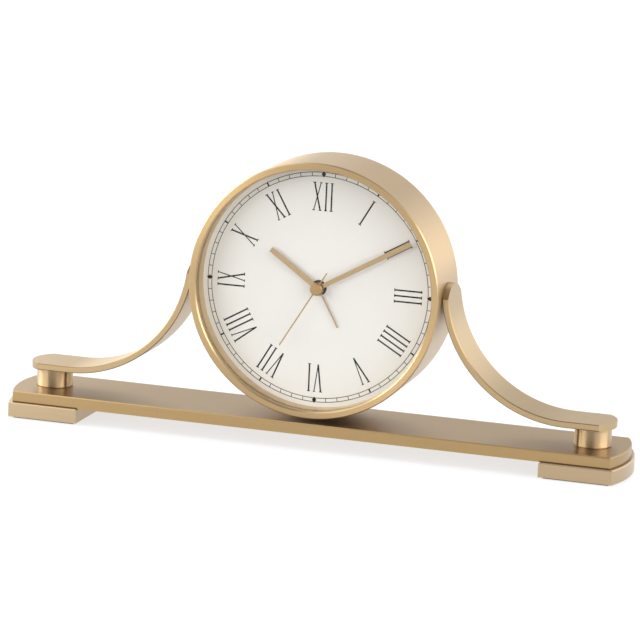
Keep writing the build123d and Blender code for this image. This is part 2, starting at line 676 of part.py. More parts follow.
# Rear shell: box open to the front, battery trough open to the back, posts for the rear pivots
seconds_post_y = seconds_y + rear_wheel_thickness + layer_gap
fifth_post_y = fifth_y + rear_wheel_thickness + end_gap
rotor_boss_y = fifth_y + rear_wheel_thickness + pinion_margin + layer_gap
third_back_post_y = third_y + rear_wheel_thickness + pinion_room
seconds_post_radius = seconds_arbor_radius + pivot_gap + tube_wall
with BuildPart() as movement_rear:
    with BuildSketch(facing(movement_back_y)):
        RectangleRounded(movement_width, movement_height, shell_corner_round)
    extrude(amount=movement_back_y - split_y - stack_gap)
    with BuildSketch(facing(rear_wall_y)):
        RectangleRounded(2 * cavity_half_x, 2 * cavity_half_z, shell_corner_round - shell_wall)
    extrude(amount=rear_wall_y - split_y, mode=Mode.SUBTRACT)
    with BuildSketch(facing(rear_wall_y, 0, bay_z)):
        RectangleRounded(2 * trough_half, trough_height, shell_corner_round - shell_wall)
    extrude(amount=rear_wall_y - bay_front_y)
    with BuildSketch(Plane(origin=(-bay_half_length, cell_y, case_z + bay_z), x_dir=(0, 1, 0), z_dir=(1, 0, 0))):
        Circle(bay_radius)
        with Locations((movement_back_y - cell_y, 0)):
            Rectangle(2 * (movement_back_y - cell_y), 2 * bay_radius)
    extrude(amount=2 * bay_half_length, mode=Mode.SUBTRACT)
    for x, z, radius, front_y in (
        (0, 0, seconds_post_radius, seconds_post_y),
        (fifth_x, fifth_z, pivot_radius + pivot_gap + post_wall, fifth_post_y),
        (rotor_x, rotor_z, pivot_radius + pivot_gap + post_wall, rotor_boss_y),
        (third_x, third_z, pivot_radius + pivot_gap + post_wall, third_back_post_y),
    ):
        with Locations(facing(rear_wall_y, x, z)):
            Cylinder(radius, rear_wall_y - front_y, align=SEAT)
    for x, z, radius, front_y in (
        (0, 0, seconds_arbor_radius + pivot_gap, seconds_post_y),
        (fifth_x, fifth_z, pivot_radius + pivot_gap, fifth_post_y),
        (rotor_x, rotor_z, pivot_radius + pivot_gap, rotor_boss_y),
        (third_x, third_z, pivot_radius + pivot_gap, third_back_post_y),
    ):
        with Locations(facing(front_y + pivot_depth, x, z)):
            Cylinder(radius, pivot_depth, align=SEAT, mode=Mode.SUBTRACT)
    for x, z in ((time_set_x, time_set_z), (alarm_set_x, alarm_set_z)):
        with Locations(facing(movement_back_y, x, z)):
            Cylinder(control_arbor_radius + pivot_gap, shell_wall, align=SEAT, mode=Mode.SUBTRACT)
    with BuildSketch(facing(movement_back_y, switch_x, switch_z - switch_travel / 2)):
        Rectangle(switch_width + 2 * switch_gap, switch_length + switch_travel + 2 * switch_gap)
    extrude(amount=shell_wall, mode=Mode.SUBTRACT)
    with BuildSketch(facing(movement_back_y, buzzer_x, buzzer_z)):
        with GridLocations(0, 2 * sound_slot_width, 1, sound_slots):
            SlotOverall(buzzer_radius, sound_slot_width)
    extrude(amount=shell_wall, mode=Mode.SUBTRACT)
movement_rear.part.label = "movement_rear"
export_step(movement_rear.part, "parts/movement_rear.step")

# Battery and its two leaf contacts
with BuildPart() as battery:
    with BuildSketch(Plane(origin=(-cell_length / 2, cell_y, case_z + bay_z), x_dir=(0, 1, 0), z_dir=(1, 0, 0))):
        Circle(cell_radius)
    extrude(amount=cell_length - cell_nub_length)
    chamfer(battery.edges().filter_by(GeomType.CIRCLE), cell_clearance)
    nub_x = cell_length / 2 - cell_nub_length
    with BuildSketch(Plane(origin=(nub_x, cell_y, case_z + bay_z), x_dir=(0, 1, 0), z_dir=(1, 0, 0))):
        Circle(cell_nub_radius)
    extrude(amount=cell_nub_length)
battery.part.label = "battery"
export_step(battery.part, "parts/battery.step")

for side, contact_name in ((-1, "negative_contact"), (1, "positive_contact")):
    contact_x = side * (bay_half_length - stack_gap)
    contact_plane = Plane(origin=(contact_x, cell_y, case_z + bay_z), x_dir=(0, 1, 0), z_dir=(-side, 0, 0))
    with BuildPart() as contact:
        with BuildSketch(contact_plane):
            RectangleRounded(contact_width, contact_width, contact_corner)
        extrude(amount=contact_thickness)
    contact.part.label = contact_name
    export_step(contact.part, f"parts/{contact_name}.step")

# Step motor: rotor, stator, coil and core
magnet_y = stator_y + (stator_thickness - rotor_magnet_length) / 2
rotor_pinion_front_y = fifth_y - pinion_margin
rotor_pinion_back_y = fifth_y + rear_wheel_thickness + pinion_margin
rotor_front_y = rotor_post_back_y - pivot_depth
rotor_back_y = rotor_boss_y + pivot_depth - pivot_gap
with BuildPart() as rotor_pinion:
    extrude(
        toothed_face(facing(rotor_pinion_back_y, rotor_x, rotor_z), rotor_teeth, rotor_module, 0),
        amount=rotor_pinion_back_y - rotor_pinion_front_y,
    )
    with Locations(facing(rotor_back_y, rotor_x, rotor_z)):
        Cylinder(pivot_radius, rotor_back_y - rotor_front_y, align=SEAT)
rotor_pinion.part.label = "rotor_pinion"
export_step(rotor_pinion.part, "parts/rotor_pinion.step")

with BuildPart() as rotor_magnet:
    with Locations(facing(magnet_y + rotor_magnet_length, rotor_x, rotor_z)):
        Cylinder(rotor_magnet_radius, rotor_magnet_length, align=SEAT)
        Cylinder(pivot_radius + hand_fit, rotor_magnet_length, align=SEAT, mode=Mode.SUBTRACT)
rotor_magnet.part.label = "rotor_magnet"
export_step(rotor_magnet.part, "parts/rotor_magnet.step")

with BuildPart() as stator:
    with BuildSketch(facing(stator_y + stator_thickness)):
        with BuildLine():
            Polyline(
                (rotor_x - yoke_half, rotor_z - yoke_half),
                (right_leg_x, rotor_z - yoke_half),
                (right_leg_x, core_top),
                (right_leg_x - stator_leg, core_top),
                (right_leg_x - stator_leg, rotor_z + yoke_half),
                (rotor_x, rotor_z + yoke_half),
                (left_pad_x + stator_leg, coil_low_z),
                (left_pad_x + stator_leg, core_top),
                (left_pad_x, core_top),
                (left_pad_x, coil_low_z - stator_leg),
                (rotor_x - yoke_half, rotor_z),
                close=True,
            )
        make_face()
        with Locations((rotor_x, rotor_z)):
            Circle(stator_hole_radius, mode=Mode.SUBTRACT)
    extrude(amount=stator_thickness)
stator.part.label = "stator"
export_step(stator.part, "parts/stator.step")

core_y = stator_y + stator_thickness + stack_gap
with BuildPart() as coil_core:
    with Locations(facing(core_y + core_thickness, coil_x, coil_rise)):
        Box(2 * core_half, core_width, core_thickness, align=SEAT)
coil_core.part.label = "coil_core"
export_step(coil_core.part, "parts/coil_core.step")

coil_y = core_y + core_thickness / 2
coil_bore = sqrt((core_width / 2) ** 2 + (core_thickness / 2) ** 2) + pivot_gap
coil_half = coil_length / 2 - bore_clearance
with BuildPart() as coil:
    coil_plane = Plane(origin=(coil_x - coil_half, coil_y, case_z + coil_rise), x_dir=(0, 1, 0), z_dir=(1, 0, 0))
    with Locations(coil_plane):
        Cylinder(coil_radius - coil_winding_inset, 2 * coil_half, align=SEAT)
        with Locations((0, 0, 0), (0, 0, 2 * coil_half - coil_flange)):
            Cylinder(coil_radius, coil_flange, align=SEAT)
        Cylinder(coil_bore, 2 * coil_half, align=SEAT, mode=Mode.SUBTRACT)
coil.part.label = "coil"
export_step(coil.part, "parts/coil.step")

# Circuit board with its crystal, and the sounder, seated on the plate
board_y = plate_back_y + stack_gap
with BuildPart() as circuit_board:
    with Locations(facing(board_y + board_thickness, board_x, board_z)):
        Box(board_width, board_height, board_thickness, align=SEAT)
circuit_board.part.label = "circuit_board"
export_step(circuit_board.part, "parts/circuit_board.step")

crystal_y = board_y + board_thickness + stack_gap + crystal_radius
with BuildPart() as quartz_crystal:
    with Locations((board_x, crystal_y, case_z + board_z - crystal_length / 2)):
        Cylinder(crystal_radius, crystal_length, align=SEAT)
quartz_crystal.part.label = "quartz_crystal"
export_step(quartz_crystal.part, "parts/quartz_crystal.step")

with BuildPart() as buzzer:
    with Locations(facing(board_y + buzzer_depth, buzzer_x, buzzer_z)):
        Cylinder(buzzer_radius, buzzer_depth, align=SEAT)
        Cylinder(buzzer_port_radius, buzzer_depth / 2, align=SEAT, mode=Mode.SUBTRACT)
buzzer.part.label = "buzzer"
export_step(buzzer.part, "parts/buzzer.step")

# Going train: fifth, seconds, third and centre wheels
fifth_pinion_front_y = seconds_y - pinion_margin
fifth_pinion_back_y = seconds_y + rear_wheel_thickness + pinion_margin
fifth_back_y = fifth_post_y + pivot_depth - pivot_gap
with BuildPart() as fifth_wheel:
    extrude(
        toothed_face(facing(fifth_y + rear_wheel_thickness, fifth_x, fifth_z), fifth_teeth, rotor_module, fifth_phase),
        amount=rear_wheel_thickness,
    )
    extrude(
        toothed_face(facing(fifth_pinion_back_y, fifth_x, fifth_z), fifth_pinion_teeth, fifth_module, 0),
        amount=fifth_pinion_back_y - fifth_pinion_front_y,
    )
    with Locations(facing(fifth_back_y, fifth_x, fifth_z)):
        Cylinder(pivot_radius, fifth_back_y - plate_y - pivot_gap, align=SEAT)
fifth_wheel.part.label = "fifth_wheel"
export_step(fifth_wheel.part, "parts/fifth_wheel.step")

cap_front_y = dial_y - second_hand_height - second_hand_thickness - cap_proud
cap_back_y = cap_front_y + cap_height
seconds_arbor_front_y = cap_front_y + cap_floor
seconds_back_y = seconds_post_y + pivot_depth - pivot_gap
seconds_pinion_front_y = third_y - pinion_margin
seconds_pinion_back_y = third_y + rear_wheel_thickness + pinion_margin
with BuildPart() as seconds_wheel:
    extrude(
        toothed_face(facing(seconds_y + rear_wheel_thickness), seconds_teeth, fifth_module, seconds_phase),
        amount=rear_wheel_thickness,
    )
    extrude(
        toothed_face(facing(seconds_pinion_back_y), seconds_pinion_teeth, third_module, 0),
        amount=seconds_pinion_back_y - seconds_pinion_front_y,
    )
    with Locations(facing(seconds_back_y)):
        Cylinder(seconds_arbor_radius, seconds_back_y - seconds_arbor_front_y, align=SEAT)
seconds_wheel.part.label = "seconds_wheel"
export_step(seconds_wheel.part, "parts/seconds_wheel.step")

third_pinion_front_y = centre_y - pinion_margin
third_pinion_back_y = centre_y + front_wheel_thickness + pinion_margin
third_back_y = third_back_post_y + pivot_depth - pivot_gap
third_front_y = third_pivot_y + pivot_gap
with BuildPart() as third_wheel:
    extrude(
        toothed_face(facing(third_y + rear_wheel_thickness, third_x, third_z), third_teeth, third_module, third_phase),
        amount=rear_wheel_thickness,
    )
    extrude(
        toothed_face(facing(third_pinion_back_y, third_x, third_z), third_pinion_teeth, centre_module, 0),
        amount=third_pinion_back_y - third_pinion_front_y,
    )
    with Locations(facing(third_back_y, third_x, third_z)):
        Cylinder(pivot_radius, third_back_y - third_front_y, align=SEAT)
third_wheel.part.label = "third_wheel"
export_step(third_wheel.part, "parts/third_wheel.step")

with BuildPart() as centre_wheel:
    centre_back_y = centre_y + front_wheel_thickness
    extrude(toothed_face(facing(centre_back_y), centre_teeth, centre_module, centre_phase), amount=front_wheel_thickness)
    with Locations(facing(centre_back_y)):
        Cylinder(cannon_radius + hand_fit, front_wheel_thickness, align=SEAT, mode=Mode.SUBTRACT)
centre_wheel.part.label = "centre_wheel"
export_step(centre_wheel.part, "parts/centre_wheel.step")

# Motion work: cannon pinion, minute wheel, hour wheel and alarm wheel
minute_hub_front_y = dial_y - minute_hand_height - hub_height
hour_hub_front_y = dial_y - hour_hand_height - hub_height
alarm_hub_front_y = dial_y - alarm_hand_height - hub_height
cannon_back_y = plate_back_y - pivot_gap
minute_back_y = minute_y + front_wheel_thickness
with BuildPart() as cannon_pinion:
    extrude(
        toothed_face(facing(minute_back_y + pinion_margin), cannon_teeth, minute_module, 0),
        amount=front_wheel_thickness + 2 * pinion_margin,
    )
    with Locations(facing(cannon_back_y)):
        Cylinder(cannon_radius, cannon_back_y - minute_hub_front_y, align=SEAT)
        Cylinder(cannon_bore, cannon_back_y - minute_hub_front_y, align=SEAT, mode=Mode.SUBTRACT)
cannon_pinion.part.label = "cannon_pinion"
export_step(cannon_pinion.part, "parts/cannon_pinion.step")

minute_pinion_front_y = hour_y - pinion_margin
with BuildPart() as minute_wheel:
    extrude(
        toothed_face(facing(minute_back_y, minute_x, minute_z), minute_teeth, minute_module, minute_phase),
        amount=front_wheel_thickness,
    )
    extrude(
        toothed_face(facing(minute_y, minute_x, minute_z), minute_pinion_teeth, hour_module, 0),
        amount=minute_y - minute_pinion_front_y,
    )
    with Locations(facing(minute_back_y, minute_x, minute_z)):
        wheel_length = minute_back_y - minute_pinion_front_y
        Cylinder(minute_post_radius + pivot_gap, wheel_length, align=SEAT, mode=Mode.SUBTRACT)
minute_wheel.part.label = "minute_wheel"
export_step(minute_wheel.part, "parts/minute_wheel.step")

hour_back_y = hour_y + front_wheel_thickness
with BuildPart() as hour_wheel:
    extrude(toothed_face(facing(hour_back_y), hour_teeth, hour_module, hour_phase), amount=front_wheel_thickness)
    with Locations(facing(hour_back_y)):
        Cylinder(hour_radius, hour_back_y - hour_hub_front_y, align=SEAT)
        Cylinder(hour_bore, hour_back_y - hour_hub_front_y, align=SEAT, mode=Mode.SUBTRACT)
hour_wheel.part.label = "hour_wheel"
export_step(hour_wheel.part, "parts/hour_wheel.step")

alarm_back_y = alarm_y + front_wheel_thickness
with BuildPart() as alarm_wheel:
    extrude(toothed_face(facing(alarm_back_y), alarm_teeth, alarm_module, alarm_phase), amount=front_wheel_thickness)
    with Locations(facing(alarm_back_y)):
        Cylinder(alarm_radius, alarm_back_y - alarm_hub_front_y, align=SEAT)
        Cylinder(alarm_bore, alarm_back_y - alarm_hub_front_y, align=SEAT, mode=Mode.SUBTRACT)
alarm_wheel.part.label = "alarm_wheel"
export_step(alarm_wheel.part, "parts/alarm_wheel.step")

# Hands: flat blades on round hubs, pressed on the tubes
minute_hand_length = rim_radius - minute_hand_margin
for hand_name, height, length, hub_width, tip_width, angle, tube_radius, tube_back_y in (
    ("alarm_hand", alarm_hand_height, alarm_hand_length, alarm_hand_width, alarm_hand_width,
     alarm_hand_angle, alarm_radius, alarm_hub_front_y),
    ("hour_hand", hour_hand_height, hour_hand_length, hour_hub_width, hour_tip_width,
     hour_hand_angle, hour_radius, hour_hub_front_y),
    ("minute_hand", minute_hand_height, minute_hand_length, minute_hub_width, minute_tip_width,
     minute_hand_angle, cannon_radius, minute_hub_front_y),
):
    blade_back_y = dial_y - height - (hub_height - hand_thickness) / 2
    with BuildPart() as hand:
        with Locations(facing(tube_back_y + hub_height)):
            Cylinder(max(hub_radius, tube_radius + tube_wall), hub_height, align=SEAT)
        with BuildSketch(facing(blade_back_y)):
            with BuildLine(Plane.XY.rotated((0, 0, -angle))):
                Polyline(
                    (-hub_width / 2, 0), (hub_width / 2, 0), (tip_width / 2, length), (-tip_width / 2, length),
                    close=True,
                )
            make_face()
        extrude(amount=hand_thickness)
        with Locations(facing(tube_back_y + hub_height)):
            Cylinder(tube_radius + hand_fit, hub_height, align=SEAT, mode=Mode.SUBTRACT)
    hand.part.label = hand_name
    export_step(hand.part, f"parts/{hand_name}.step")

# Second hand with the round cap that covers the stack of hubs
with BuildPart() as second_hand:
    with Locations(facing(cap_back_y)):
        Cylinder(hub_radius, cap_height, align=SEAT)
    chamfer(second_hand.edges().sort_by(Axis.Y)[0], cap_edge_bevel)
    blade_middle = (second_hand_length - second_hand_tail) / 2
    with BuildSketch(facing(dial_y - second_hand_height)):
        with Locations(away(blade_middle, 90 - second_hand_angle)):
            Rectangle(second_hand_length + second_hand_tail, second_hand_width, rotation=90 - second_hand_angle)
    extrude(amount=second_hand_thickness)
    with Locations(facing(cap_back_y)):
        bore_length = cap_back_y - seconds_arbor_front_y + pivot_gap
        Cylinder(seconds_arbor_radius + hand_fit, bore_length, align=SEAT, mode=Mode.SUBTRACT)
second_hand.part.label = "second_hand"
export_step(second_hand.part, "parts/second_hand.step")

# Setting arbors with their pinions, and the knobs on the back
knob_y = movement_back_y + knob_lift
knob_back_y = knob_y + knob_height
arbor_back_y = knob_back_y - knob_cap
arbor_front_y = inner_y - pivot_recess + pivot_gap
for arbor_name, x, z, teeth, module, phase, wheel_back_y in (
    ("time_set_arbor", time_set_x, time_set_z, time_set_teeth, minute_module, time_set_phase, minute_back_y),
    ("alarm_set_arbor", alarm_set_x, alarm_set_z, alarm_set_teeth, alarm_module, 0, alarm_back_y),
):
    pinion_back_y = wheel_back_y + pinion_margin
    with BuildPart() as set_arbor:
        extrude(
            toothed_face(facing(pinion_back_y, x, z), teeth, module, phase),
            amount=front_wheel_thickness + 2 * pinion_margin,
        )
        with Locations(facing(arbor_back_y, x, z)):
            Cylinder(control_arbor_radius, arbor_back_y - pinion_back_y, align=SEAT)
        with Locations(facing(pinion_back_y, x, z)):
            Cylinder(pivot_radius, pinion_back_y - arbor_front_y, align=SEAT)
    set_arbor.part.label = arbor_name
    export_step(set_arbor.part, f"parts/{arbor_name}.step")

for knob_name, x, z, radius in (
    ("time_set_knob", time_set_x, time_set_z, time_knob_radius),
    ("alarm_set_knob", alarm_set_x, alarm_set_z, alarm_knob_radius),
):
    with BuildPart() as knob:
        with Locations(facing(knob_back_y, x, z)):
            Cylinder(radius, knob_height, align=SEAT)
        chamfer(knob.edges().sort_by(Axis.Y)[-1], knob_grip_radius / 2)
        with Locations(facing(knob_back_y, x, z)):
            with PolarLocations(radius, knob_grips):
                Cylinder(knob_grip_radius, knob_height, align=SEAT, mode=Mode.SUBTRACT)
        with Locations(facing(arbor_back_y + pivot_gap, x, z)):
            Cylinder(control_arbor_radius + hand_fit, arbor_back_y - knob_y + pivot_gap, align=SEAT, mode=Mode.SUBTRACT)
    knob.part.label = knob_name
    export_step(knob.part, f"parts/{knob_name}.step")

# Alarm on/off slide in its slot
with BuildPart() as alarm_switch:
    with Locations(facing(movement_back_y + switch_proud, switch_x, switch_z)):
        Box(switch_width, switch_length, switch_proud + shell_wall + switch_gap, align=SEAT)
    with Locations(facing(rear_wall_y - switch_gap, switch_x, switch_z)):
        Box(switch_width + 2 * switch_flange, switch_length + 2 * switch_flange, switch_flange, align=SEAT)
    grip_edges = alarm_switch.faces().sort_by(Axis.Y)[-1].edges()
    chamfer(grip_edges, switch_gap)
alarm_switch.part.label = "alarm_switch"
export_step(alarm_switch.part, "parts/alarm_switch.step")
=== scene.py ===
# %% [markdown]
# # A tambour mantel clock in satin gold
# The solids of the clock come from its CAD model, in metres, with the dial facing -Y. This lesson gives them
# their finishes, prints the dial, adds the small things on the back and lights the clock like a catalogue
# picture.

# %% Load the clock
import bpy
import json
from math import cos, pi, radians, sin
from mathutils import Matrix, Vector


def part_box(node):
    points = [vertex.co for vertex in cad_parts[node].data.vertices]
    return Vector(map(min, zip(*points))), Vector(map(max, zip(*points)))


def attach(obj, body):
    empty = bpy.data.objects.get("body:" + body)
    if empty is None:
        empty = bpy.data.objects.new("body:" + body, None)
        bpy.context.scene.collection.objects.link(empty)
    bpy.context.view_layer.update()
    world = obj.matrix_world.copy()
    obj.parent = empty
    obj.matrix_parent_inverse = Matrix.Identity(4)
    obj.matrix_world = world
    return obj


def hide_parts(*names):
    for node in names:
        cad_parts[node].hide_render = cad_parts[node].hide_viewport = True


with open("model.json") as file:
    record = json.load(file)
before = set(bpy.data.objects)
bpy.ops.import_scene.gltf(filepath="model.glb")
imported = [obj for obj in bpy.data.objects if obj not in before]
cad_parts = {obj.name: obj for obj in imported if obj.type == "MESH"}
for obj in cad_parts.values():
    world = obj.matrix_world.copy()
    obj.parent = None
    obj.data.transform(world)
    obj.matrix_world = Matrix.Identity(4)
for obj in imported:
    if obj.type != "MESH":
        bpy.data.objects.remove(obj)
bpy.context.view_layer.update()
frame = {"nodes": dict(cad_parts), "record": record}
scene = bpy.context.scene
MM = 0.001
drum_low, drum_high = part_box("drum_case")
dial_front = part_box("dial")[0][1]
case_height = (drum_low[2] + drum_high[2]) / 2
print("nodes:", len(frame["nodes"]))
print("dial face at y", round(dial_front / MM, 2), "mm, case axis at z", round(case_height / MM, 2), "mm")

# %% [markdown]
# ## Small tools for finishes
# Colours are given as sRGB hex values, and shaders want linear ones, so one function turns hex to
# linear. A node tree is only nodes, settings and links, so another function adds a node with all three at
# once. The last two start a material with an empty tree and end it with its output.

# %% Colour and node helpers
def linear(code):
    parts = [int(code[i:i + 2], 16) / 255 for i in (1, 3, 5)]
    return [c / 12.92 if c <= 0.04045 else ((c + 0.055) / 1.055) ** 2.4 for c in parts] + [1.0]


def add(tree, kind, inputs=(), **settings):
    made = tree.nodes.new(kind)
    for name, value in settings.items():
        setattr(made, name, value)
    for name, value in dict(inputs).items():
        if isinstance(value, bpy.types.NodeSocket):
            tree.links.new(value, made.inputs[name])
        else:
            made.inputs[name].default_value = value
    return made


def finish_for(name):
    material = bpy.data.materials.new(name)
    material.use_nodes = True
    material.node_tree.nodes.clear()
    return material, material.node_tree


def show(tree, shader):
    add(tree, "ShaderNodeOutputMaterial", {"Surface": shader})


print("gold in linear light:", [round(part, 3) for part in linear("#BFA275")])

# %% [markdown]
# ## Scratches of brushed metal
# The metal is anodised aluminium, brushed very finely and then dyed a pale gold. Brushing leaves parallel
# scratches, and a highlight spreads across them. They are about 0.05 mm apart on the real metal. That is far
# below one pixel, so they are drawn 0.5 mm apart and kept faint.
# Scratches are a noise that is squeezed across the brushing and stretched along it. On a straight piece that
# is one multiplication. On a turned piece the scratches are rings round the case axis, so the noise is laid
# out by the distance from that axis, and by the depth, which takes over on the drum's side.

# %% Scratch patterns
SCRATCH = 0.5 * MM
SCRATCH_LENGTH = 40 * MM


def from_axis(tree, place):
    """The way out from the case axis, square to it, and its length."""
    out = add(tree, "ShaderNodeVectorMath", {
        0: place, 1: (0, 0, case_height)}, operation="SUBTRACT").outputs[0]
    flat = add(tree, "ShaderNodeVectorMath", {0: out, 1: (1, 0, 1)}, operation="MULTIPLY").outputs[0]
    return flat, add(tree, "ShaderNodeVectorMath", {0: flat}, operation="LENGTH").outputs["Value"]


def straight_scratches(tree, place, fine):
    """A place in the noise, squeezed along each axis for which fine is 1."""
    sizes = [1 / SCRATCH if axis else 1 / SCRATCH_LENGTH for axis in fine]
    return add(tree, "ShaderNodeVectorMath", {0: place, 1: sizes}, operation="MULTIPLY").outputs[0]


def turned_scratches(tree, place, normal):
    """A place in the noise, squeezed across the rings, and the direction across them."""
    flat, radius = from_axis(tree, place)
    depth = add(tree, "ShaderNodeSeparateXYZ", {"Vector": place}).outputs["Y"]
    across = add(tree, "ShaderNodeMath", {0: radius, 1: depth}, operation="ADD").outputs[0]
    lines = add(tree, "ShaderNodeMath", {0: across, 1: 1 / SCRATCH}, operation="MULTIPLY").outputs[0]
    slow = add(tree, "ShaderNodeVectorMath", {
        0: flat, 1: (1 / SCRATCH_LENGTH,) * 3}, operation="MULTIPLY").outputs[0]
    shift = add(tree, "ShaderNodeCombineXYZ", {"Y": lines}).outputs[0]
    pattern = add(tree, "ShaderNodeVectorMath", {0: slow, 1: shift}, operation="ADD").outputs[0]
    brush = add(tree, "ShaderNodeVectorMath", {
        0: (0, 1, 0), 1: flat}, operation="CROSS_PRODUCT").outputs[0]
    spread = add(tree, "ShaderNodeVectorMath", {
        0: normal, 1: brush}, operation="CROSS_PRODUCT").outputs[0]
    return pattern, spread


print("scratches drawn", SCRATCH / MM, "mm apart and", SCRATCH_LENGTH / MM, "mm long")

# %% [markdown]
# ## Painted shade on edges
# Two browner tones outline the metal, and both are painted shade. The darker tone on the arms' bevels and
# upper ends is painted shade. Where the plate stands on its feet, a thin painted shadow line stands for the
# shade in the gap there.
# Both could be painted by hand, but each has a simple rule: a bevel's normal leans between -Y and the arm's
# broad faces, and the line lies low on the plate, over the feet.

# %% Painted shade on bevels and at the feet
BEVEL_STARTS, BEVEL_FULL, BEVEL_ENDS = 0.1, 0.5, 0.9
ARM_TIP_LENGTH = 6 * MM
JOINT_HEIGHT = 0.6 * MM
arm_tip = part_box("right_arm")[1][0] - ARM_TIP_LENGTH
joint_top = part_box("base_plate")[0][2] + JOINT_HEIGHT
foot_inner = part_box("right_foot")[0][0]


def painted_shade_on_bevels(tree, place, normal, colour, tone):
    """Mixes in painted shade where a face of the arm leans, but not on its lower tip."""
    side = add(tree, "ShaderNodeSeparateXYZ", {"Vector": place}).outputs["X"]
    side = add(tree, "ShaderNodeMath", {0: side}, operation="ABSOLUTE").outputs[0]
    leaning = add(tree, "ShaderNodeSeparateXYZ", {"Vector": normal}).outputs["Y"]
    leaning = add(tree, "ShaderNodeMath", {0: leaning}, operation="ABSOLUTE").outputs[0]
    part = add(tree, "ShaderNodeMapRange", {
        "Value": leaning, "From Min": BEVEL_STARTS, "From Max": BEVEL_FULL}).outputs[0]
    for value, limit in ((leaning, BEVEL_ENDS), (side, arm_tip)):
        inside = add(tree, "ShaderNodeMath", {0: value, 1: limit}, operation="LESS_THAN").outputs[0]
        part = add(tree, "ShaderNodeMath", {0: part, 1: inside}, operation="MULTIPLY").outputs[0]
    return add(tree, "ShaderNodeMix", {
        "Factor": part, 6: colour, 7: linear(tone)}, data_type="RGBA").outputs[2]


def painted_shadow_at_feet(tree, place, colour, tone):
    """Mixes in a painted shadow line along the plate's lower edge, over the feet."""
    axes = add(tree, "ShaderNodeSeparateXYZ", {"Vector": place}).outputs
    side = add(tree, "ShaderNodeMath", {0: axes["X"]}, operation="ABSOLUTE").outputs[0]
    low = add(tree, "ShaderNodeMath", {0: axes["Z"], 1: joint_top}, operation="LESS_THAN").outputs[0]
    over = add(tree, "ShaderNodeMath", {0: side, 1: foot_inner}, operation="GREATER_THAN").outputs[0]
    line = add(tree, "ShaderNodeMath", {0: low, 1: over}, operation="MULTIPLY").outputs[0]
    return add(tree, "ShaderNodeMix", {
        "Factor": line, 6: colour, 7: linear(tone)}, data_type="RGBA").outputs[2]


print("joint line up to z", round(joint_top / MM, 2), "mm, from x", round(foot_inner / MM, 2), "mm outwards")

# %% [markdown]
# ## Satin champagne gold
# The base and arms are brushed lengthwise, and the drum is turned. The pillars are turned too, finer, and
# lacquered, and show upright streaks. The feet and the ring round the dial have a paler dye.
# One recipe makes them all: the scratches vary the colour, the roughness and a faint bump, and an anisotropic
# metal draws the highlight out along the Tangent, which is the direction across the scratches. A thin coat
# stands for the sealed oxide.

# %% Brushed gold
ROUGHNESS_SWING = 0.04
SCRATCH_BUMP, SCRATCH_DEPTH = 0.03, 0.02 * MM
COAT_WEIGHT, COAT_ROUGHNESS = 0.5, 0.3


def brushed_gold(name, pale, deep, roughness, fine=(0, 1, 1), spread=(0, 1, 0.6), turned=False, streak=0.7,
                 coat=COAT_WEIGHT, slant="#FFFFFF", edge=None, joint=None):
    """pale and deep are the colours, slant tints a low angle, edge is painted shade on bevels and joint a
    painted shadow line, if any.
    """
    material, tree = finish_for(name)
    place = add(tree, "ShaderNodeTexCoord").outputs["Object"]
    normal = add(tree, "ShaderNodeNewGeometry").outputs["Normal"]
    if turned:
        pattern, spread = turned_scratches(tree, place, normal)
    else:
        pattern = straight_scratches(tree, place, fine)
    scratches = add(tree, "ShaderNodeTexNoise", {
        "Vector": pattern, "Scale": 1.0, "Detail": 3.0, "Roughness": 0.6}).outputs["Fac"]
    colour = add(tree, "ShaderNodeMix", {
        "Factor": scratches, 6: linear(deep), 7: linear(pale)}, data_type="RGBA").outputs[2]
    # edge is painted shade on the arms' bevels, joint a painted shadow line where the plate meets its feet
    if edge:
        colour = painted_shade_on_bevels(tree, place, normal, colour, edge)
    if joint:
        colour = painted_shadow_at_feet(tree, place, colour, joint)
    rough = add(tree, "ShaderNodeMapRange", {
        "Value": scratches,
        "To Min": roughness - ROUGHNESS_SWING, "To Max": roughness + ROUGHNESS_SWING}).outputs[0]
    bump = add(tree, "ShaderNodeBump", {
        "Height": scratches, "Strength": SCRATCH_BUMP, "Distance": SCRATCH_DEPTH}).outputs[0]
    tangent = add(tree, "ShaderNodeVectorMath", {0: spread}, operation="NORMALIZE").outputs[0]
    show(tree, add(tree, "ShaderNodeBsdfPrincipled", {
        "Base Color": colour, "Metallic": 1.0, "Roughness": rough, "Normal": bump,
        "Anisotropic": streak, "Tangent": tangent, "Specular Tint": linear(slant),
        "Coat Weight": coat, "Coat Roughness": COAT_ROUGHNESS}).outputs[0])
    return material


print("scratches swing the roughness by", ROUGHNESS_SWING, "either way")

# %% The brushed gold finishes
# base bar: brushed lengthwise, the deepest gold, a soft mirror along the bar that dims at a slant, and a
# painted shadow line over the feet
base_gold = brushed_gold(
    "satin_gold_anodised_base", "#B39566", "#AC8E5F", 0.29, slant="#E6E6E6", joint="#6B4A22")
# feet: the same brushing under a paler dye, so they read as separate blocks
foot_gold = brushed_gold("satin_gold_anodised_foot", "#C2AA88", "#BAA17E", 0.34)
# arms: strip brushed before it was bent, so one broad highlight follows the curve between edges with painted
# shade
arm_gold = brushed_gold(
    "satin_gold_anodised_strip", "#C1A77D", "#B99F75", 0.34, fine=(0, 1, 0), spread=(0, 1, 0.3),
    slant="#EEEEEE", edge="#96784E")
# drum: turned, so two bright fans open across the rim and bands run along the side
drum_gold = brushed_gold(
    "satin_gold_anodised_turned", "#BFA275", "#B79A6C", 0.34, turned=True, streak=0.82, coat=0.65)
# ring round the dial: turned and pale, it carries light down to the dial's edge
ring_gold = brushed_gold("pale_gold_turned_ring", "#D6BE96", "#CFB68D", 0.4, turned=True)
# pillars: turned fine and lacquered, light and dark streaks stand upright on them
pillar_gold = brushed_gold(
    "lacquered_gold_turned_pillar", "#C3A981", "#BBA179", 0.42, fine=(0, 0, 1), spread=(0, 0, 1),
    streak=1.0, coat=1.0)
golds = (base_gold, foot_gold, arm_gold, drum_gold, ring_gold, pillar_gold)
print("brushed gold finishes:", [gold.name for gold in golds])

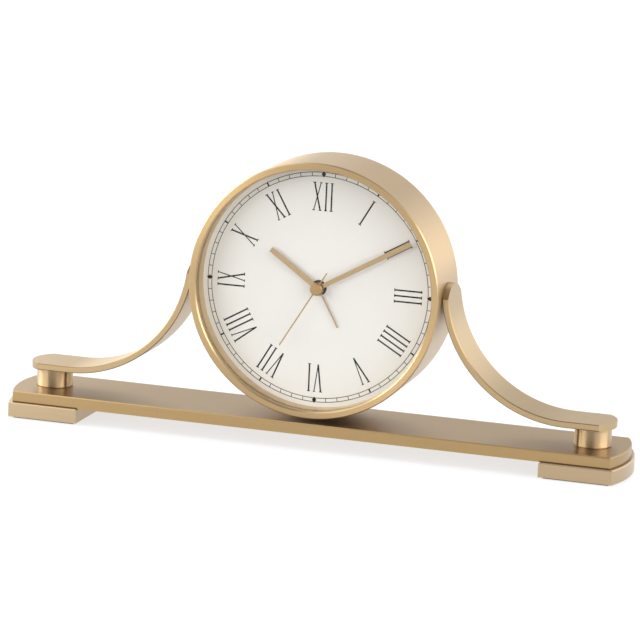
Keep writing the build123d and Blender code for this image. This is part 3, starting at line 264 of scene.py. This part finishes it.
# %% [markdown]
# ## Finishes without a direction
# The hands are stamped brass with a satin lacquer, and the dial is a metal sheet with ivory enamel. The parts
# inside and on the back are moulded plastic, steel, copper and so on. Each could have a recipe of its own,
# but at this size all that differs is colour, gloss and grain, so they share one: a colour that wanders a
# little, and a fine grain that roughens the surface. A turned cap at the middle may have a colour of its own.

# %% Plated, painted and moulded finishes
METAL, NOT_METAL = 1.0, 0.0
CLOUD = 12 * MM
GRAIN_DEPTH = 0.03 * MM
CLEAR_COAT_ROUGHNESS = 0.08
CAP_RADIUS = 4.6 * MM


def plain_finish(name, pale, deep, metallic, roughness, grain, bump=0.05, coat=0.0, shine=0.5, cap=None):
    """pale and deep are the colours, grain is the size of the texture and bump its strength."""
    material, tree = finish_for(name)
    place = add(tree, "ShaderNodeTexCoord").outputs["Object"]
    cloud, fine = [
        add(tree, "ShaderNodeTexNoise", {"Vector": place, "Scale": 1 / size, "Detail": 2.0}).outputs["Fac"]
        for size in (CLOUD, grain)]
    colour = add(tree, "ShaderNodeMix", {
        "Factor": cloud, 6: linear(deep), 7: linear(pale)}, data_type="RGBA").outputs[2]
    if cap:
        radius = from_axis(tree, place)[1]
        needle = add(tree, "ShaderNodeMath", {
            0: radius, 1: CAP_RADIUS}, operation="GREATER_THAN").outputs[0]
        colour = add(tree, "ShaderNodeMix", {
            "Factor": needle, 6: linear(cap), 7: colour}, data_type="RGBA").outputs[2]
    rough = add(tree, "ShaderNodeMapRange", {
        "Value": fine,
        "To Min": roughness - ROUGHNESS_SWING, "To Max": roughness + ROUGHNESS_SWING}).outputs[0]
    relief = add(tree, "ShaderNodeBump", {
        "Height": fine, "Strength": bump, "Distance": GRAIN_DEPTH}).outputs[0]
    show(tree, add(tree, "ShaderNodeBsdfPrincipled", {
        "Base Color": colour, "Metallic": metallic, "Roughness": rough, "Normal": relief,
        "Coat Weight": coat, "Coat Roughness": CLEAR_COAT_ROUGHNESS,
        "Specular IOR Level": shine}).outputs[0])
    return material


print("colours wander over", round(CLOUD / MM, 1), "mm, the cap reaches", round(CAP_RADIUS / MM, 1), "mm")

# %% Finishes that show
finishes = {
    "satin_gold_base": base_gold,
    "satin_gold_arms": arm_gold,
    "satin_gold_drum": drum_gold,
    "polished_gold": pillar_gold,
    # stamped brass under a satin lacquer: a soft warm sheen and no mirror
    "hand_gold": plain_finish("lacquered_brass_satin", "#B19974", "#A9916C", METAL, 0.38, 0.4 * MM),
    # enamel rubbed to a satin: warm, nearly white, with a broad dull gloss
    "ivory_dial": plain_finish(
        "ivory_enamel_satin", "#F4F1EA", "#F1EEE6", NOT_METAL, 0.45, 0.5 * MM, 0.02),
    # ABS from a smooth mould: deep black, half matt
    "black_plastic": plain_finish(
        "black_moulded_plastic", "#1D1D1E", "#171718", NOT_METAL, 0.5, 0.5 * MM, 0.25),
    # ABS from a spark-eroded mould: a fine grain that greys the black
    "cover_plastic": plain_finish(
        "black_spark_textured_plastic", "#222223", "#1A1A1B", NOT_METAL, 0.6, 0.4 * MM, 0.5),
    # zinc plate on steel: cool grey with a soft mirror
    "steel": plain_finish("zinc_plated_steel", "#C4C4C2", "#B5B5B4", METAL, 0.3, 0.3 * MM, 0.08),
    # thin rolled brass: yellow, with a soft gloss
    "sounder_brass": plain_finish("thin_brass_can", "#C9AA62", "#BE9E57", METAL, 0.3, 0.5 * MM),
    # cut foam rubber: black and quite matt
    "pad_rubber": plain_finish("black_foam_rubber", "#1F1F20", "#161617", NOT_METAL, 0.8, 0.5 * MM, 0.6),
}
# the second hand: a stamped needle like the other hands, and a turned cap of deeper, browner brass
cap_brass = plain_finish(
    "lacquered_brass_capped", "#B19974", "#A9916C", METAL, 0.32, 0.4 * MM, cap="#A7875C")
# the movement's front shell: brown-black, seen only as a dark ring round the hands' centre
bush_brown = plain_finish(
    "dark_brown_moulded_plastic", "#3A2416", "#321E12", NOT_METAL, 0.5, 0.5 * MM, 0.25)
print("slots with a finish:", len(finishes), "and two more:", cap_brass.name, bush_brown.name)

# %% Finishes inside the movement
finishes.update({
    # acetal gears: waxy white and smooth
    "train_plastic": plain_finish("white_gear_plastic", "#E9E6DC", "#E2DED3", NOT_METAL, 0.35, 0.5 * MM),
    # punched iron sheet: dull grey
    "motor_iron": plain_finish("soft_iron_sheet", "#A3A3A4", "#97979A", METAL, 0.4, 0.4 * MM, 0.1),
    # sintered magnet: dark, with a grainy metal glint
    "magnet": plain_finish("sintered_magnet", "#4A4A4C", "#414143", METAL, 0.5, 0.3 * MM, 0.2),
    # enamelled wire: red-brown turns with small highlights
    "copper_winding": plain_finish(
        "enamelled_copper_wire", "#B8693F", "#A85C35", METAL, 0.3, 0.15 * MM, 0.4),
    # lacquered glass-fibre board: green under a clear gloss
    "board_green": plain_finish(
        "green_solder_mask", "#1E6B3A", "#195C31", NOT_METAL, 0.3, 0.6 * MM, coat=0.5),
    # nickel on a drawn can: a bright, slightly warm mirror
    "plated_can": plain_finish("nickel_plate", "#CFCDC6", "#C2C0B9", METAL, 0.2, 0.5 * MM, 0.03),
})
print("slots with a finish:", len(finishes))

# %% [markdown]
# ## Clear glass
# A flat mineral glass hardly shows: it lets the dial through and mirrors a little of the room, more at a
# slant than head on. A glass shader would throw a shadow on the dial, because a path tracer seldom finds a
# lamp through it, so the rays that carry light from the lamps and the room to the dial meet a clear,
# transparent shader instead. The pane's index is below that of plain glass, 1.5, because the mirror hardly
# shows on this clock. The edge of such a glass is ground, so it is matt and pale, and brightens the narrow
# groove that it sits in.

# %% Glass
GLASS_INDEX = 1.25
# flat mineral glass: clear, with a faint mirror that grows at a slant
glass, tree = finish_for("clear_mineral_glass")
pane = add(tree, "ShaderNodeBsdfPrincipled", {
    "Base Color": linear("#FFFFFF"), "Roughness": 0.0, "IOR": GLASS_INDEX,
    "Transmission Weight": 1.0}).outputs[0]
clear = add(tree, "ShaderNodeBsdfTransparent", {"Color": linear("#FFFFFF")}).outputs[0]
rays = add(tree, "ShaderNodeLightPath").outputs
lighting = add(tree, "ShaderNodeMath", {
    0: rays["Is Shadow Ray"], 1: rays["Is Diffuse Ray"]}, operation="MAXIMUM").outputs[0]
show(tree, add(tree, "ShaderNodeMixShader", {0: lighting, 1: pane, 2: clear}).outputs[0])
finishes["clear_glass"] = glass
# ground glass: matt, pale and slightly green
ground_edge = plain_finish("ground_glass_edge", "#E4E6E0", "#DADCD6", NOT_METAL, 0.7, 0.2 * MM, 0.2)
print("glass finishes:", glass.name, ground_edge.name)

# %% [markdown]
# ## The cell's sleeve
# A plain AA cell has a printed plastic sleeve with a band at the positive end, where the bare metal cap
# stands out. The band could be a separate shell, but it is only print, so band and cap are steps in the
# colour along X in Object coordinates, because the cell lies along X.

# %% Cell sleeve
CELL_BAND, CELL_CAP = 13 * MM, 1.2 * MM
cell_low, cell_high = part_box("battery")
# shrunk plastic sleeve: pale grey and blue print under a gloss
sleeve, tree = finish_for("printed_cell_sleeve")
place = add(tree, "ShaderNodeTexCoord").outputs["Object"]
along = add(tree, "ShaderNodeSeparateXYZ", {"Vector": place}).outputs["X"]
band, cap = [
    add(tree, "ShaderNodeMath", {0: along, 1: cell_high[0] - length}, operation="GREATER_THAN").outputs[0]
    for length in (CELL_BAND, CELL_CAP)]
wrap = add(tree, "ShaderNodeMix", {
    "Factor": band, 6: linear("#D9DCDD"), 7: linear("#2F6FA3")}, data_type="RGBA").outputs[2]
colour = add(tree, "ShaderNodeMix", {
    "Factor": cap, 6: wrap, 7: linear("#C9C7C0")}, data_type="RGBA").outputs[2]
show(tree, add(tree, "ShaderNodeBsdfPrincipled", {
    "Base Color": colour, "Metallic": cap, "Roughness": 0.3, "Coat Weight": 0.4}).outputs[0])
finishes["cell_can"] = sleeve
print("cell from x", round(cell_low[0] / MM, 1), "to", round(cell_high[0] / MM, 1), "mm")

# %% [markdown]
# ## Finishes on the solids
# Every CAD node names a material slot in the record, so a table from slot to finish dresses most of them at
# once. A few nodes share a slot with their neighbours but look different on the real clock, and get a finish
# of their own.

# %% Put the finishes on the CAD nodes
slot_of = {row["node"]: row["material_slot"] for row in frame["record"]["subparts"]}
own_finish = {
    "left_foot": foot_gold,
    "right_foot": foot_gold,
    "dial_ring": ring_gold,
    "second_hand": cap_brass,
    "movement_front": bush_brown,
}
for name, node in frame["nodes"].items():
    node.data.materials.clear()
    node.data.materials.append(own_finish.get(name, finishes[slot_of[name]]))
print("finished nodes:", len(slot_of))

# %% [markdown]
# ## Tools for flat marks
# The dial's print and the signs on the back are flat marks. Each shape in them starts as a plane or a circle
# at its own size, lies flat in XY with its top to +Y, and is joined to the others. The whole mark is then
# given the thickness of a coat of ink or of a raised sign, stood up and set on its face.

# %% Bars and rings
RING_STEPS = 240


def deselect_all():
    bpy.ops.object.select_all(action="DESELECT")


def fix_place():
    bpy.ops.object.transform_apply(location=True, rotation=True, scale=True)


def printed_bar(centre, length, width, turn):
    """A bar whose length lies along +Y before it is turned."""
    deselect_all()
    bpy.ops.mesh.primitive_plane_add(size=1, location=(centre[0], centre[1], 0), rotation=(0, 0, turn))
    bar = bpy.context.object
    bar.scale = (width, length, 1)
    fix_place()
    return bar


def flat_ring(radius, width):
    """A flat ring whose faces look up: the outer circle is extruded and drawn in."""
    outer, inner = radius + width / 2, radius - width / 2
    deselect_all()
    bpy.ops.mesh.primitive_circle_add(vertices=RING_STEPS, radius=outer)
    bpy.ops.object.mode_set(mode="EDIT")
    bpy.ops.mesh.select_all(action="SELECT")
    bpy.ops.mesh.extrude_edges_move()
    bpy.ops.transform.resize(value=(inner / outer, inner / outer, 1), center_override=(0, 0, 0))
    bpy.ops.object.mode_set(mode="OBJECT")
    return bpy.context.object


print("a ring has", RING_STEPS, "steps")

# %% Join, thicken and stand up
def select_only(piece):
    deselect_all()
    piece.select_set(True)
    bpy.context.view_layer.objects.active = piece


def join(pieces, name):
    select_only(pieces[0])
    for piece in pieces:
        piece.select_set(True)
    if len(pieces) > 1:
        bpy.ops.object.join()
    joined = bpy.context.object
    joined.name = joined.data.name = name
    return joined


def thick(piece, depth):
    select_only(piece)
    wall = piece.modifiers.new("wall", "SOLIDIFY")
    wall.thickness = depth
    wall.offset = 1.0
    bpy.ops.object.modifier_apply(modifier="wall")


def stand(piece, place, heading, finish):
    """Stands a flat mark up on a face, heading 0 to the front and pi to the back, and fixes its place."""
    select_only(piece)
    piece.rotation_euler = (radians(90), 0, heading)
    piece.location = place
    fix_place()
    piece.data.materials.clear()
    piece.data.materials.append(finish)
    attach(piece, "clock_body")


print("print on the dial starts at y", round(dial_front / MM, 2), "mm")

# %% [markdown]
# ## The minute track
# The dial is printed in a brown black. Two thin circles hold sixty strokes between them, wider at every fifth
# minute, and the quarters have a lozenge: a plane turned on its corner and drawn out along the radius.

# %% Minute track
INK_THICKNESS = 0.03 * MM
TRACK_IN, TRACK_OUT = 52.3 * MM, 54.15 * MM
TRACK_LINE = 0.3 * MM
HOUR_STROKE = 0.75 * MM
LOZENGE_LENGTH, LOZENGE_WIDTH = 3.1 * MM, 2.2 * MM
UNIT_DIAGONAL = 0.5 ** 0.5
# pad-printed ink: matt and nearly black, so the strokes stay crisp behind the glass
ink = plain_finish(
    "matt_black_dial_ink", "#1C150C", "#17110A", NOT_METAL, 0.6, 0.3 * MM, 0.02, shine=0.1)


def lozenge(centre, turn):
    """A lozenge whose long way lies along +Y before it is turned."""
    deselect_all()
    bpy.ops.mesh.primitive_plane_add(size=UNIT_DIAGONAL, rotation=(0, 0, pi / 4))
    fix_place()
    shape = bpy.context.object
    shape.scale = (LOZENGE_WIDTH, LOZENGE_LENGTH, 1)
    shape.rotation_euler = (0, 0, turn)
    shape.location = (centre[0], centre[1], 0)
    fix_place()
    return shape


track = [flat_ring(radius, TRACK_LINE) for radius in (TRACK_IN, TRACK_OUT)]
track_middle = (TRACK_IN + TRACK_OUT) / 2
for minute in range(60):
    turn = -2 * pi * minute / 60
    centre = (-track_middle * sin(turn), track_middle * cos(turn))
    if minute % 15 == 0:
        track.append(lozenge(centre, turn))
    else:
        wide = HOUR_STROKE if minute % 5 == 0 else TRACK_LINE
        track.append(printed_bar(centre, TRACK_OUT - TRACK_IN, wide, turn))
minute_track = join(track, "minute_track")
thick(minute_track, INK_THICKNESS)
stand(minute_track, (0, dial_front, case_height), 0, ink)
print("minute track faces:", len(minute_track.data.polygons))

# %% [markdown]
# ## The Roman numerals
# The twelve numerals stand with their feet to the centre. The letters are tall and light: a stroke is about
# 0.7 mm wide, and the second stroke of a V or an X is thin. Every free end has a short serif. Four is written
# IIII, as on most clock dials. A text object would bring a font's own letters, so they are built from bars.

# %% Strokes of a letter
NUMERAL_LOW, NUMERAL_HIGH = 36.1 * MM, 49.4 * MM
BOLD, LIGHT = 0.72 * MM, 0.46 * MM
SERIF_LENGTH, LIGHT_SERIF_LENGTH, SERIF_WIDTH = 1.5 * MM, 1.2 * MM, 0.38 * MM
X_WIDTH, V_WIDTH, LETTER_GAP = 3.1 * MM, 3.2 * MM, 2.65 * MM
V_POINT = 0.52 * V_WIDTH
LETTER_WIDTH = {"I": 0.0, "V": V_WIDTH, "X": X_WIDTH}


def stroke(start, end, width, serif_start, serif_end):
    """One stroke between two points, with a level serif at either end where there is one."""
    run = Vector((end[0] - start[0], end[1] - start[1]))
    centre = ((start[0] + end[0]) / 2, (start[1] + end[1]) / 2)
    made = [printed_bar(centre, run.length, width, -Vector((0, 1)).angle_signed(run))]
    serif = SERIF_LENGTH if width == BOLD else LIGHT_SERIF_LENGTH
    for point, wanted in ((start, serif_start), (end, serif_end)):
        if wanted:
            made.append(printed_bar(point, SERIF_WIDTH, serif, 0))
    return made


def letter_strokes(letter, x):
    """The strokes of one letter that starts at x."""
    low, high = NUMERAL_LOW + SERIF_WIDTH / 2, NUMERAL_HIGH - SERIF_WIDTH / 2
    if letter == "I":
        return stroke((x, low), (x, high), BOLD, True, True)
    if letter == "V":
        point = (x + V_POINT, low)
        falling = stroke((x, high), point, BOLD, True, False)
        return falling + stroke((x + V_WIDTH, high), point, LIGHT, True, False)
    falling = stroke((x, high), (x + X_WIDTH, low), BOLD, True, True)
    return falling + stroke((x + X_WIDTH, high), (x, low), LIGHT, True, True)


print("numerals are", round((NUMERAL_HIGH - NUMERAL_LOW) / MM, 1), "mm tall")

# %% Hour numerals
HOURS = ["XII", "I", "II", "III", "IIII", "V", "VI", "VII", "VIII", "IX", "X", "XI"]
numerals = []
for hour, letters in enumerate(HOURS):
    x = -(sum(LETTER_WIDTH[letter] for letter in letters) + LETTER_GAP * (len(letters) - 1)) / 2
    strokes = []
    for letter in letters:
        strokes += letter_strokes(letter, x)
        x += LETTER_WIDTH[letter] + LETTER_GAP
    numeral = join(strokes, "numeral")
    numeral.rotation_euler = (0, 0, -2 * pi * hour / 12)
    fix_place()
    numerals.append(numeral)
hour_numerals = join(numerals, "hour_numerals")
thick(hour_numerals, INK_THICKNESS)
stand(hour_numerals, (0, dial_front, case_height), 0, ink)
print("numeral faces:", len(hour_numerals.data.polygons))

# %% [markdown]
# ## Signs on the back
# A clock movement is moulded with its signs: plus and minus by the cell, a turning arrow at each knob, and a
# bar and a ring where the alarm switch is on or off. They stand only 0.2 mm proud and are stamped with a pale
# foil. They are drawn as seen from behind, where right is -X. An arrow is the upper part of a ring with a
# triangle on its end.

# %% Sign helpers
SIGN_PROUD, SIGN_LINE = 0.2 * MM, 0.45 * MM
ARROW_FROM = radians(40)
ARROW_POINT = 3 * SIGN_LINE
# foil pressed on the raised signs: pale grey and smooth, so they stand out from the black shell
foil = plain_finish("grey_stamped_sign", "#B9B9B6", "#AEAEAB", NOT_METAL, 0.35, 0.5 * MM, 0.1)
rear_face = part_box("movement_rear")[1][1]
signs = []


def sign(pieces, name, x, z):
    """Joins flat shapes into one raised sign on the movement's rear face."""
    made = join(pieces, name)
    thick(made, SIGN_PROUD)
    stand(made, (x, rear_face, z), pi, foil)
    signs.append(made)


def turning_arrow(radius, name, x, z):
    """Keeps the upper part of a ring and puts a point on its right end."""
    end = (radius * cos(ARROW_FROM), radius * sin(ARROW_FROM), 0)
    arc = flat_ring(radius, SIGN_LINE)
    bpy.ops.object.mode_set(mode="EDIT")
    bpy.ops.mesh.select_all(action="DESELECT")
    bpy.ops.object.mode_set(mode="OBJECT")
    for corner in arc.data.vertices:
        corner.select = corner.co.y < end[1]
    bpy.ops.object.mode_set(mode="EDIT")
    bpy.ops.mesh.delete(type="VERT")
    bpy.ops.object.mode_set(mode="OBJECT")
    deselect_all()
    bpy.ops.mesh.primitive_circle_add(
        vertices=3, radius=ARROW_POINT, fill_type="NGON", location=end, rotation=(0, 0, ARROW_FROM + pi))
    fix_place()
    sign([arc, bpy.context.object], name, x, z)


print("signs stand", round(SIGN_PROUD / MM, 2), "mm proud of the shell at y", round(rear_face / MM, 2), "mm")

# %% Signs in their places
SIGN_SIZE = 2.4 * MM
ARROW_GAP = 1.6 * MM
CELL_SIGN_UP, CELL_SIGN_IN = 2.2 * MM, 0.6 * MM
OFF_DOWN = 5.3 * MM
cell_sign_z = cell_high[2] + CELL_SIGN_UP
plus_bars = [printed_bar((0, 0), SIGN_SIZE, SIGN_LINE, turn) for turn in (0, pi / 2)]
sign(plus_bars, "cell_plus", cell_high[0] - CELL_SIGN_IN, cell_sign_z)
minus_bar = printed_bar((0, 0), SIGN_SIZE, SIGN_LINE, pi / 2)
sign([minus_bar], "cell_minus", cell_low[0] + CELL_SIGN_IN, cell_sign_z)
for knob in ("time_set_knob", "alarm_set_knob"):
    low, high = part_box(knob)
    arrow_radius = (high[2] - low[2]) / 2 + ARROW_GAP
    turning_arrow(arrow_radius, knob + "_arrow", (low[0] + high[0]) / 2, (low[2] + high[2]) / 2)
low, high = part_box("alarm_switch")
switch_x = (low[0] + high[0]) / 2
sign([printed_bar((0, 0), SIGN_SIZE, SIGN_LINE, 0)], "switch_on", switch_x, high[2] + SIGN_SIZE)
sign([flat_ring(SIGN_SIZE / 2, SIGN_LINE)], "switch_off", switch_x, low[2] - OFF_DOWN)
print("signs on the back:", [made.name for made in signs])

# %% [markdown]
# ## The glass
# The CAD glass is a plain disc. This one has its sharp edges taken off and its rim ground: a cylinder of the
# same size, with both edges bevelled, whose faces that look outwards get the matt finish. The edges to bevel
# are picked by where their two ends lie, in edge mode, so that the edges between them stay out of the choice.

# %% Glass size and a bevel tool
glass_low, glass_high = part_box("glass")


def bevel_edges(piece, wanted, width, steps):
    """Bevels the edges for whose two ends wanted says yes."""
    bpy.ops.object.mode_set(mode="EDIT")
    bpy.ops.mesh.select_mode(type="EDGE")
    bpy.ops.mesh.select_all(action="DESELECT")
    bpy.ops.object.mode_set(mode="OBJECT")
    for edge in piece.data.edges:
        edge.select = wanted(*[piece.data.vertices[v].co for v in edge.vertices])
    bpy.ops.object.mode_set(mode="EDIT")
    bpy.ops.mesh.bevel(offset=width, segments=steps)
    bpy.ops.mesh.select_mode(type="VERT")
    bpy.ops.object.mode_set(mode="OBJECT")


print("glass is", round((glass_high[1] - glass_low[1]) / MM, 2), "mm thick")

# %% Glass with a ground edge
GLASS_STEPS = 192
EDGE_BEVEL = 0.2 * MM
FACING = 0.99
deselect_all()
bpy.ops.mesh.primitive_cylinder_add(
    vertices=GLASS_STEPS, radius=(glass_high[0] - glass_low[0]) / 2, depth=glass_high[1] - glass_low[1],
    location=(0, (glass_low[1] + glass_high[1]) / 2, case_height), rotation=(pi / 2, 0, 0))
dial_glass = bpy.context.object
dial_glass.name = dial_glass.data.name = "dial_glass"
fix_place()
bevel_edges(dial_glass, lambda start, end: abs(start.y - end.y) < EDGE_BEVEL, EDGE_BEVEL, 1)
dial_glass.data.materials.clear()
for finish in (glass, ground_edge):
    dial_glass.data.materials.append(finish)
for face in dial_glass.data.polygons:
    face.material_index = 0 if abs(face.normal.y) > FACING else 1
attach(dial_glass, "clock_body")
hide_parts("glass")
print("glass faces:", len(dial_glass.data.polygons))

# %% [markdown]
# ## Screws of the back cover
# The CAD screws are plain cylinders. These have a pan head with a cross recess. One is modelled with its head
# to +Z: a cylinder whose top edge is rounded, minus a cross of two boxes, on a plain shank. It is then copied
# to the three places, because the three screws are alike.

# %% Screw head with its recess
HEAD_RADIUS, HEAD_HEIGHT, HEAD_ROUND = 2.5 * MM, 1.7 * MM, 0.9 * MM
HEAD_STEPS, ROUND_STEPS = 64, 5
RECESS_LENGTH, RECESS_WIDTH, RECESS_DEPTH = 2.9 * MM, 0.7 * MM, 1.0 * MM
NEAR = 0.01 * MM
deselect_all()
bpy.ops.mesh.primitive_cylinder_add(
    vertices=HEAD_STEPS, radius=HEAD_RADIUS, depth=HEAD_HEIGHT, location=(0, 0, -HEAD_HEIGHT / 2))
head = bpy.context.object
fix_place()
bevel_edges(head, lambda start, end: max(abs(start.z), abs(end.z)) < NEAR, HEAD_ROUND, ROUND_STEPS)
for length, width in ((RECESS_LENGTH, RECESS_WIDTH), (RECESS_WIDTH, RECESS_LENGTH)):
    deselect_all()
    bpy.ops.mesh.primitive_cube_add(size=1)
    cutter = bpy.context.object
    cutter.scale = (length, width, 2 * RECESS_DEPTH)
    fix_place()
    select_only(head)
    cut = head.modifiers.new("recess", "BOOLEAN")
    cut.operation = "DIFFERENCE"
    cut.object = cutter
    bpy.ops.object.modifier_apply(modifier="recess")
    bpy.data.objects.remove(cutter)
print("screw head faces:", len(head.data.polygons))

# %% Shank and copies
SHANK_RADIUS, SHANK_LENGTH, SHANK_STEPS = 1.25 * MM, 6.0 * MM, 32
SMOOTH_ANGLE = radians(30)
deselect_all()
bpy.ops.mesh.primitive_cylinder_add(
    vertices=SHANK_STEPS, radius=SHANK_RADIUS, depth=SHANK_LENGTH,
    location=(0, 0, -HEAD_HEIGHT - SHANK_LENGTH / 2))
fix_place()
screw = join([head, bpy.context.object], "cover_screw_1")
bpy.ops.object.shade_smooth_by_angle(angle=SMOOTH_ANGLE)
screws = [screw]
for number in (2, 3):
    select_only(screw)
    bpy.ops.object.duplicate()
    bpy.context.object.name = "cover_screw_%d" % number
    screws.append(bpy.context.object)
print("cover screws:", len(screws), "faces each", len(screw.data.polygons))

# %% Screws in their places
SCREW_CIRCLE = 54.7 * MM
SCREW_DIRECTIONS = (30, 150, 270)
head_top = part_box("cover_screws")[1][1]
for piece, degrees_round in zip(screws, SCREW_DIRECTIONS):
    direction = radians(degrees_round)
    select_only(piece)
    piece.rotation_euler = (radians(-90), direction, 0)
    piece.location = (
        SCREW_CIRCLE * cos(direction), head_top, case_height + SCREW_CIRCLE * sin(direction))
    fix_place()
    piece.data.materials.clear()
    piece.data.materials.append(finishes["steel"])
    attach(piece, "clock_body")
    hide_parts("cover_screws")
print("screws", round(SCREW_CIRCLE / MM, 1), "mm from the axis, heads at y", round(head_top / MM, 2), "mm")

# %% [markdown]
# ## Floor
# Catalogue pictures are lit by big soft boxes on a white sweep of paper. The paper here is mid grey, so that
# it throws little light up at the clock, and a glow that only the camera, mirrors and glass see lifts it to
# white. The clock's shadow takes away the lamps' share and stays visible. Far from the lamps the glow rises,
# so that the paper stays white to the edge of the picture.

# %% Floor
FLOOR_SIZE = 14
GLOW = 0.7
FAR_FROM, FAR_TO = 1.5, 3.0
deselect_all()
bpy.ops.mesh.primitive_plane_add(size=FLOOR_SIZE, location=(0, 0, 0))
floor = bpy.context.object
floor.name = "floor"
# uncoated paper: quite matt, with no mirror of its own
sweep, tree = finish_for("white_paper_sweep")
paper = add(tree, "ShaderNodeBsdfDiffuse", {"Color": linear("#949598")}).outputs[0]
rays = add(tree, "ShaderNodeLightPath").outputs
seen = rays["Is Camera Ray"]
for kind in ("Is Glossy Ray", "Is Transmission Ray"):
    seen = add(tree, "ShaderNodeMath", {0: seen, 1: rays[kind]}, operation="MAXIMUM").outputs[0]
near_glow = add(tree, "ShaderNodeMath", {0: seen, 1: GLOW}, operation="MULTIPLY").outputs[0]
place = add(tree, "ShaderNodeTexCoord").outputs["Object"]
far = add(tree, "ShaderNodeVectorMath", {0: place}, operation="LENGTH").outputs["Value"]
far_glow = add(tree, "ShaderNodeMapRange", {
    "Value": far, "From Min": FAR_FROM, "From Max": FAR_TO, "To Min": 0.0, "To Max": 1 - GLOW}).outputs[0]
strength = add(tree, "ShaderNodeMath", {
    0: rays["Is Camera Ray"], 1: far_glow, 2: near_glow}, operation="MULTIPLY_ADD").outputs[0]
glow = add(tree, "ShaderNodeEmission", {"Color": linear("#FFFFFF"), "Strength": strength}).outputs[0]
show(tree, add(tree, "ShaderNodeAddShader", {0: paper, 1: glow}).outputs[0])
floor.data.materials.append(sweep)
print("floor:", floor.name, FLOOR_SIZE, "m across, glow", GLOW)

# %% [markdown]
# ## Room
# The room is brightest at the right, then at the left, and dim in front, where the camera stands: this gives
# the drum its shading from side to side. Each side's light falls off with the angle from it, and the four are
# added up. To the camera the room is plain white.

# %% World
ROOM_LIGHT = {(1, 0, 0): 1.6, (-1, 0, 0): 0.95, (0, -1, 0): 0.43, (0, 1, 0): 0.64}
world = bpy.data.worlds.new("white_studio")
scene.world = world
world.use_nodes = True
tree = world.node_tree
tree.nodes.clear()
camera_ray = add(tree, "ShaderNodeLightPath").outputs["Is Camera Ray"]
toward = add(tree, "ShaderNodeTexCoord").outputs["Generated"]
room_level = 0.0
for side, power in ROOM_LIGHT.items():
    facing = add(tree, "ShaderNodeVectorMath", {
        0: toward, 1: side}, operation="DOT_PRODUCT").outputs["Value"]
    lit = add(tree, "ShaderNodeMath", {0: facing, 1: 0.0}, operation="MAXIMUM").outputs[0]
    room_level = add(tree, "ShaderNodeMath", {
        0: lit, 1: power, 2: room_level}, operation="MULTIPLY_ADD").outputs[0]
room = add(tree, "ShaderNodeBackground", {"Color": linear("#FFFFFF"), "Strength": room_level}).outputs[0]
white = add(tree, "ShaderNodeBackground", {"Color": linear("#FFFFFF"), "Strength": 1.0}).outputs[0]
mixed = add(tree, "ShaderNodeMixShader", {0: camera_ray, 1: room, 2: white}).outputs[0]
add(tree, "ShaderNodeOutputWorld", {"Surface": mixed})
print("room lit from", len(ROOM_LIGHT), "sides")

# %% [markdown]
# ## Soft boxes
# Each box stands two metres from the clock, at an angle round from the front and a height above the table.
# The pair in front stands low and lights the dial evenly under the rim. The boxes at the left and right give
# the rim and the pillars their bright streaks, and those behind and above light the top of the drum, the base
# and the arms.

# %% Soft boxes
BOX_DISTANCE = 2.0
# degrees round from the front, degrees up, width and height in metres, power in watts
SOFT_BOXES = {
    "front_left": (-45, 7, 1.2, 0.8, 11.0),
    "front_right": (45, 12, 1.2, 1.2, 4.8),
    "left": (-90, 20, 1.4, 1.1, 27.0),
    "left_top": (-60, 50, 1.2, 1.2, 8.0),
    "right": (85, 18, 1.8, 1.1, 20.0),
    "top": (0, 89, 1.2, 1.2, 2.6),
    "back_top": (180, 50, 1.2, 1.2, 5.0),
    "back_left": (-135, 30, 1.2, 1.2, 6.5),
    "back_right": (158, 8, 1.4, 1.0, 0.8),
}
for name, (degrees_round, degrees_up, width, height, power) in SOFT_BOXES.items():
    turn, rise = radians(degrees_round), radians(degrees_up)
    out = Vector((sin(turn) * cos(rise), -cos(turn) * cos(rise), sin(rise)))
    bpy.ops.object.light_add(type="AREA", location=Vector((0, 0, case_height)) + out * BOX_DISTANCE)
    box = bpy.context.object
    box.name = name
    box.data.shape = "RECTANGLE"
    box.data.size, box.data.size_y = width, height
    box.data.energy = power
    box.rotation_euler = (-out).to_track_quat("-Z", "Y").to_euler()
    box.visible_camera = False
print("soft boxes:", len(SOFT_BOXES))

# %% [markdown]
# ## The camera
# A long lens from a little above and to the right. The direction, the distance and the small turn of the
# picture were worked out from the edges of the drum and the base. The picture isn't centred on the drum, so
# the lens is shifted a little.

# %% Camera
# distances in metres, the sensor in millimetres, the rest in pixels of the picture
AZIMUTH, ELEVATION, ROLL = radians(16.49), radians(11.38), radians(2.48)
DISTANCE, CLIP_END = 1.5723, 50
SENSOR = 36
IMAGE = 640
FOCUS_PIXELS = 3421.8
RIM_PIXEL = (311.94, 292.03)
back = Vector((sin(AZIMUTH) * cos(ELEVATION), -cos(AZIMUTH) * cos(ELEVATION), sin(ELEVATION)))
right = Vector((cos(AZIMUTH), sin(AZIMUTH), 0))
up = back.cross(right)
level, over = right * cos(ROLL) + up * sin(ROLL), up * cos(ROLL) - right * sin(ROLL)
rim_centre = Vector((0, drum_low[1], case_height))
bpy.ops.object.camera_add(location=rim_centre + back * DISTANCE)
camera = bpy.context.object
camera.rotation_euler = Matrix((level, over, back)).transposed().to_euler()
camera.data.sensor_width = SENSOR
camera.data.lens = FOCUS_PIXELS / IMAGE * SENSOR
camera.data.shift_x = (IMAGE / 2 - RIM_PIXEL[0]) / IMAGE
camera.data.shift_y = (RIM_PIXEL[1] - IMAGE / 2) / IMAGE
camera.data.clip_end = CLIP_END
scene.camera = camera
scene.view_settings.view_transform = "Standard"
print("lens", round(camera.data.lens, 1), "mm at", round(DISTANCE, 3), "m")
